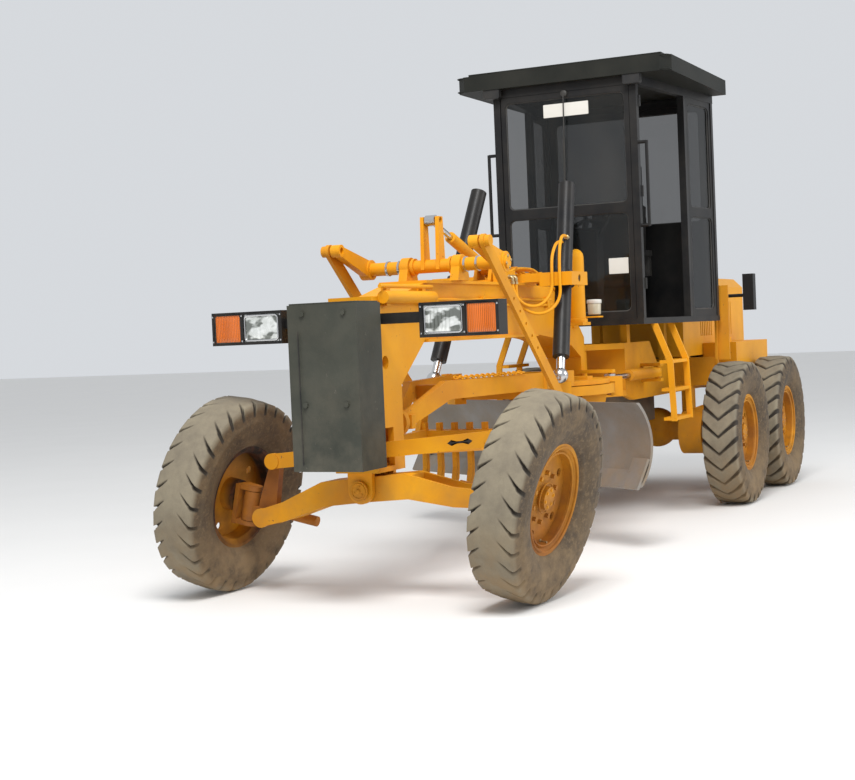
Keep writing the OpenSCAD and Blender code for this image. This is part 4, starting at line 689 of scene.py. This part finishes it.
JAR = (0.235, 0.325)
JAR_FOOT, LID_FOOT = 1.742, 1.833
made_of("brake_fluid_jar", [turned([(0.0, 0.046), (0.006, 0.052), (0.085, 0.055), (0.092, 0.050)],
                                   (*JAR, JAR_FOOT), Z_AXIS, 28)], "jar", "front_body")
made_of("jar_lid", [turned([(0.0, 0.057), (0.004, 0.060), (0.026, 0.060), (0.031, 0.056), (0.033, 0.030),
                            (0.034, 0.0005)], (*JAR, LID_FOOT), Z_AXIS, 40)],
        "white", "front_body")
made_of("jar_bracket", [slab((0.235, 0.245, 1.730), Y_AXIS, X_AXIS, 0.280, 0.110, 0.012, 0.02),
                        slab((0.235, 0.1495, 1.690), X_AXIS, Z_AXIS, 0.110, 0.100, -0.012, 0.01)],
        "yellow", "front_body")

TUBE_X, TUBE_Z, TUBE_END = 2.55, 2.107, 0.5605
COLLAR = [(0.0, 0.0466), (0.001, 0.052), (0.016, 0.052), (0.017, 0.0466)]
COLLAR_PLACES = (0.240, 0.330, -0.258, -0.350)
made_of("cross_tube_collars", [turned(COLLAR, (TUBE_X, y, TUBE_Z), Y_AXIS, 36) for y in COLLAR_PLACES],
        "rod", "cross_tube")
end_bolts = [shell for s in (1, -1)
             for shell in bolt_ring((TUBE_X, s * TUBE_END, TUBE_Z), (0, s, 0), 0.040, 4, 0.0085)]
made_of("cross_tube_end_bolts", end_bolts, "brass", "cross_tube")


# Lamps

def lamp_frame(low_y, high_y, low_z, high_z, x, corner, grow):
    """Rounded rectangle in the lamp's face plane."""
    flat = round_outline(high_y - low_y + 2 * grow, high_z - low_z + 2 * grow, corner)
    return drawn_on((x, (low_y + high_y) / 2, (low_z + high_z) / 2), Y_AXIS, Z_AXIS, flat)


LENS_THICK = 0.004


def crowned_lens(low_y, high_y, low_z, high_z, x, rise, ribs, rib):
    """Lens face: x + rise * (1 - u^4)(1 - v^4) with upright ribs of a cosine in u; u and v run -1 to 1."""
    u, v = np.meshgrid(np.linspace(-1, 1, 97), np.linspace(-1, 1, 25), indexing="ij")
    swell = (1 - u ** 4) * (1 - v ** 4)
    face = x + rise * swell + rib * swell * np.cos(ribs * math.pi * u)
    y = (low_y + high_y) / 2 + u * (high_y - low_y) / 2
    z = (low_z + high_z) / 2 + v * (high_z - low_z) / 2
    front = np.stack([face, y, z], -1)
    back = np.stack([np.full_like(face, x - LENS_THICK), y, z], -1)
    points = np.vstack([front.reshape(-1, 3), back.reshape(-1, 3)])
    rows, cols = u.shape
    i, j = np.meshgrid(np.arange(rows - 1), np.arange(cols - 1), indexing="ij")
    first = i * cols + j
    quads = np.stack([first, first + 1, first + cols + 1, first + cols], -1).reshape(-1, 4)
    rim = np.concatenate([np.arange(cols), np.arange(1, rows) * cols + cols - 1,
                          (rows - 1) * cols + np.arange(cols - 2, -1, -1),
                          np.arange(rows - 2, 0, -1) * cols])
    other = np.roll(rim, -1)
    wall = np.stack([rim, other, other + rows * cols, rim + rows * cols], -1)
    return outward(points, np.vstack([quads, quads[:, ::-1] + rows * cols, wall]))


# Glass of a lamp on the left: low and high edge across, then in height
HEAD = (0.505, 0.765, 1.643, 1.817)
SIGNAL = (0.785, 0.985, 1.637, 1.823)
SCREW = [(0.0, 0.006), (0.003, 0.0055), (0.004, 0.002)]


def on_side(lamp, s):
    return (*sorted((s * lamp[0], s * lamp[1])), *lamp[2:])


def drawn_in(lamp, inset):
    return lamp[0] + inset, lamp[1] - inset, lamp[2] + inset, lamp[3] - inset


lamp_rims, signal_rims, clear, orange, screws = [], [], [], [], []
for s in (1, -1):
    head, signal = on_side(HEAD, s), on_side(SIGNAL, s)
    lamp_rims.append(hoop(lamp_frame(*head, 3.777, 0.022, -0.008), 0.0065))
    signal_rims.append(hoop(lamp_frame(*signal, 3.776, 0.014, -0.004), 0.0045))
    clear.append(crowned_lens(*drawn_in(head, 0.016), 3.7755, 0.0035, 9, 0.0012))
    orange.append(crowned_lens(*drawn_in(signal, 0.008), 3.7750, 0.0045, 14, 0.0016))
    screws += [turned(SCREW, (3.7845, s * y, z), X_AXIS, 12) for y in (0.491, 0.775, 0.992)
               for z in (1.650, 1.810)]
made_of("headlamp_rims", lamp_rims, "rod", "front_body")
made_of("signal_rims", signal_rims, "plastic", "front_body")
made_of("headlamp_glasses", clear, "lamp", "front_body", sharp=80)
made_of("signal_lenses", orange, "amber", "front_body", sharp=80)
made_of("lamp_screws", screws, "rod", "front_body")


# Cab

UPPER, LOWER, REAR = (2.661, 3.569), (1.761, 2.580), (2.561, 3.569)
# Each pane: its two lower corners in plan, then its heights
PANES = [((-0.128, -0.528), (-0.128, 0.528), *UPPER), ((-0.128, -0.528), (-0.128, 0.528), *LOWER),
         ((-1.741, -0.694), (-1.741, 0.694), *REAR)]
PANES += [((-1.1915, s * 0.7325), (-1.6595, s * 0.7865), *heights)
          for s in (1, -1) for heights in (UPPER, LOWER)]
PANE_CORNER = 0.05


def window_ring(a, b, low_z, high_z):
    """Rounded rectangle that stands on the line from a to b, between two heights."""
    a, b = np.array([*a, (low_z + high_z) / 2]), np.array([*b, (low_z + high_z) / 2])
    flat = round_outline(np.linalg.norm(b - a), high_z - low_z, PANE_CORNER, 8)
    return drawn_on((a + b) / 2, unit(b - a), Z_AXIS, flat)


made_of("window_gaskets", [hoop(window_ring(*pane), 0.0095) for pane in PANES],
        "rubber", "rear_body")

WIPER_ARM = [(-0.112, 0.010, 3.600), (-0.085, 0.010, 3.602), (-0.083, 0.008, 3.560),
             (-0.094, -0.004, 3.060), (-0.102, -0.010, 2.900)]
WIPER_BLADE = [(-0.104, -0.010, 3.240), (-0.106, -0.014, 2.900), (-0.104, -0.020, 2.560)]
WIPER_HUB = [(0.0, 0.030), (0.022, 0.028), (0.026, 0.020)]
made_of("wiper", [tube(WIPER_ARM, 0.006, 8), tube(WIPER_BLADE, 0.0075, 8),
                  turned(WIPER_HUB, (-0.1105, 0.010, 3.600), X_AXIS)], "rubber", "rear_body")
made_of("window_plates", [slab((-0.1245, 0.013, 3.470), Y_AXIS, Z_AXIS, 0.400, 0.110, 0.003, 0.006, 0.0008),
                          slab((-0.1245, 0.425, 2.140), Y_AXIS, Z_AXIS, 0.170, 0.130, 0.003, 0.004, 0.0008)],
        "white", "rear_body", sharp=20)

low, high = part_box("cab_roof")
fascia = round_outline(high[0] - low[0] - 0.010, high[1] - low[1] - 0.010, 0.045, 5)
made_of("roof_beads", [hoop(drawn_on(((low[0] + high[0]) / 2, 0.0, z), X_AXIS, Y_AXIS, fascia), 0.0045)
                       for z in (3.700, 3.812)], "roof", "rear_body")
made_of("cab_work_lamps", [slab((x, y, 3.655), Y_AXIS, Z_AXIS, 0.150, 0.090, 0.045 * s, 0.02, 0.006)
                           for x, s in ((-0.035, -1), (-1.765, 1)) for y in (0.62, -0.62)],
        "plastic", "rear_body")


# Wheels and the front axle's fastenings

# Faces of a wheel, measured outwards from its middle plane
HUB_FACE, DISC_FACE, FLANGE_FACE = 0.076, 0.053, 0.111
VALVE_REACH = 0.262
STEM = [(0.0, 0.010), (0.008, 0.010), (0.010, 0.006), (0.038, 0.005), (0.040, 0.0065), (0.050, 0.0065),
        (0.052, 0.003)]
# Rings on a rim: reach outwards, radius, and half the bead's thickness
RIM_RINGS = ((FLANGE_FACE - 0.002, RIM_R - 0.016, 0.0080), (FLANGE_FACE - 0.018, RIM_R - 0.052, 0.0060),
             (DISC_FACE + 0.001, 0.092, 0.0050))

for side, s in (("left", 1.0), ("right", -1.0)):
    wheels = [("front_" + side, "front_spin_" + side, "front_wheel_" + side, "front_rim")]
    wheels += [(f"{row}_{side}", f"spin_{row}_{side}", f"wheel_{row}_{side}", "rim")
               for row in ("mid", "rear")]
    for key, spin, wheel, paint in wheels:
        centre, axis = joint(spin)
        out = s * axis
        rings = [hoop(circle_round(centre, out, reach, radius, 96), bead)
                 for reach, radius, bead in RIM_RINGS]
        made_of("rim_rings_" + key, rings, paint, wheel)
        made_of("hub_bolts_" + key, bolt_ring(centre + HUB_FACE * out, out, 0.052, 6, 0.0095),
                "low_yellow", wheel)
        stem = centre + DISC_FACE * out + VALVE_REACH * across_of(out)[1]
        made_of("valve_stem_" + key, [turned(STEM, stem, out, 14)], "brass", wheel)

AXLE_PIN = np.array((3.742, -0.0103, 0.692))
made_of("axle_pin_keeper", [hoop(circle_round(AXLE_PIN, X_AXIS, 0.001, 0.047, 48), 0.004)]
        + bolt(AXLE_PIN, X_AXIS, 0.013) + bolt_ring(AXLE_PIN, X_AXIS, 0.030, 3, 0.006),
        "low_yellow", "front_body")


ARROW_RISE = 0.0008


def flat_arrow(middle, along, up, length, wide):
    """Thin raised arrow with a point at both ends."""
    tip, neck, shaft = length / 2, length / 2 - 1.6 * wide, 0.36 * wide
    half = [(tip, 0), (neck, wide), (neck, shaft), (-neck, shaft), (-neck, wide)]
    outline = np.array(half + [(-x, -y) for x, y in half])
    flat = drawn_on(middle, along, up, outline)
    return loft([flat, flat + ARROW_RISE * np.cross(along, up)])


LEAN_BAR_SLOPE = 0.086
bar_run = unit((0.0, 1.0, LEAN_BAR_SLOPE))
made_of("lean_arrow", [flat_arrow((3.6232, 0.640, 0.9825), bar_run, np.cross(X_AXIS, bar_run), 0.17, 0.018)],
        "black", "lean_bar", sharp=10)


def chain(start, end, count, long, wide, wire):
    """Row of oval links along a line, flat and tilted up by turns."""
    start, end = np.asarray(start, float), np.asarray(end, float)
    ahead = unit(end - start)
    side = unit(np.cross(Z_AXIS, ahead))
    angle = one_turn(20)
    oval = np.sign(np.cos(angle)) * np.abs(np.cos(angle)) ** 0.8 * long / 2 * ahead
    links = []
    for k in range(count):
        middle = start + (end - start) * (k + 0.5) / count
        across = side if k % 2 else unit(Z_AXIS + 0.9 * side)
        links.append(hoop(middle + oval + np.sin(angle) * wide / 2 * across, wire, 6))
    return links


made_of("drawbar_chain", chain((2.640, 0.165, 1.3415), (1.860, 0.350, 1.3415), 26, 0.042, 0.026, 0.0055),
        "yellow", "drawbar", sharp=80)
made_of("nose_box_seam", [slab((4.1362, -0.158, 1.290), Y_AXIS, Z_AXIS, 0.007, 0.800, 0.0016, 0.002)],
        "plastic", "front_body")


# Light, floor and camera

FLOOR_HALF = 60.0
# Broad lamps: place, power in watts and width
LAMPS = {"key": ((9.0, 3.0, 11.0), 1500.0, 5.0), "fill": ((-3.0, 11.0, 6.0), 500.0, 6.0)}
AIM = (0.5, 0.0, 1.0)


def stage():
    """Pale floor, soft sky, one broad lamp high at the machine's left front and a weaker one at its left."""
    corners = [(x * FLOOR_HALF, y * FLOOR_HALF, 0) for x, y in ((-1, -1), (1, -1), (1, 1), (-1, 1))]
    mesh = bpy.data.meshes.new("floor")
    mesh.from_pydata(corners, [], [(0, 1, 2, 3)])
    floor = bpy.data.objects.new("floor", mesh)
    bpy.context.collection.objects.link(floor)
    g = Graph("floor_pale")
    g.colour(g.mix(g.noise(0.8), (0.78, 0.77, 0.75), (0.82, 0.81, 0.79)))
    g.fixed(Roughness=0.9)
    mesh.materials.append(g.material)
    world = bpy.data.worlds.new("soft_sky")
    world.use_nodes = True
    background = world.node_tree.nodes["Background"]
    background.inputs["Color"].default_value = (0.90, 0.93, 0.97, 1.0)
    background.inputs["Strength"].default_value = 0.75
    bpy.context.scene.world = world
    for name, (place, power, wide) in LAMPS.items():
        lamp = bpy.data.lights.new(name, "AREA")
        lamp.energy, lamp.size = power, wide
        holder = bpy.data.objects.new(name, lamp)
        holder.location = place
        holder.rotation_euler = (Vector(AIM) - Vector(place)).to_track_quat("-Z", "Y").to_euler()
        bpy.context.collection.objects.link(holder)


# View solved from the photo's wheels, axle and roof
CAMERA_PLACE = (12.078, 4.55, 1.65)
YAW, PITCH, ROLL = math.radians(205.938), math.radians(-2.110), math.radians(-2.478)
FOCAL_PX, PICTURE_PX, SENSOR_MM = 1539.1, 855.0, 36.0


def photo_camera():
    """Camera whose right, up and forward directions follow from yaw, pitch and roll."""
    level = Vector((math.sin(YAW), -math.cos(YAW), 0.0))
    ahead = Vector((math.cos(YAW) * math.cos(PITCH), math.sin(YAW) * math.cos(PITCH), math.sin(PITCH)))
    right = level * math.cos(ROLL) + level.cross(ahead) * math.sin(ROLL)
    axes = Matrix((right, right.cross(ahead), -ahead)).transposed().to_4x4()
    camera = bpy.data.objects.new("camera", bpy.data.cameras.new("camera"))
    camera.data.sensor_width = SENSOR_MM
    camera.data.lens = SENSOR_MM * FOCAL_PX / PICTURE_PX
    camera.matrix_world = Matrix.Translation(CAMERA_PLACE) @ axes
    bpy.context.collection.objects.link(camera)
    bpy.context.scene.camera = camera


photo_camera()
stage()
bpy.context.scene.view_settings.view_transform = "Standard"
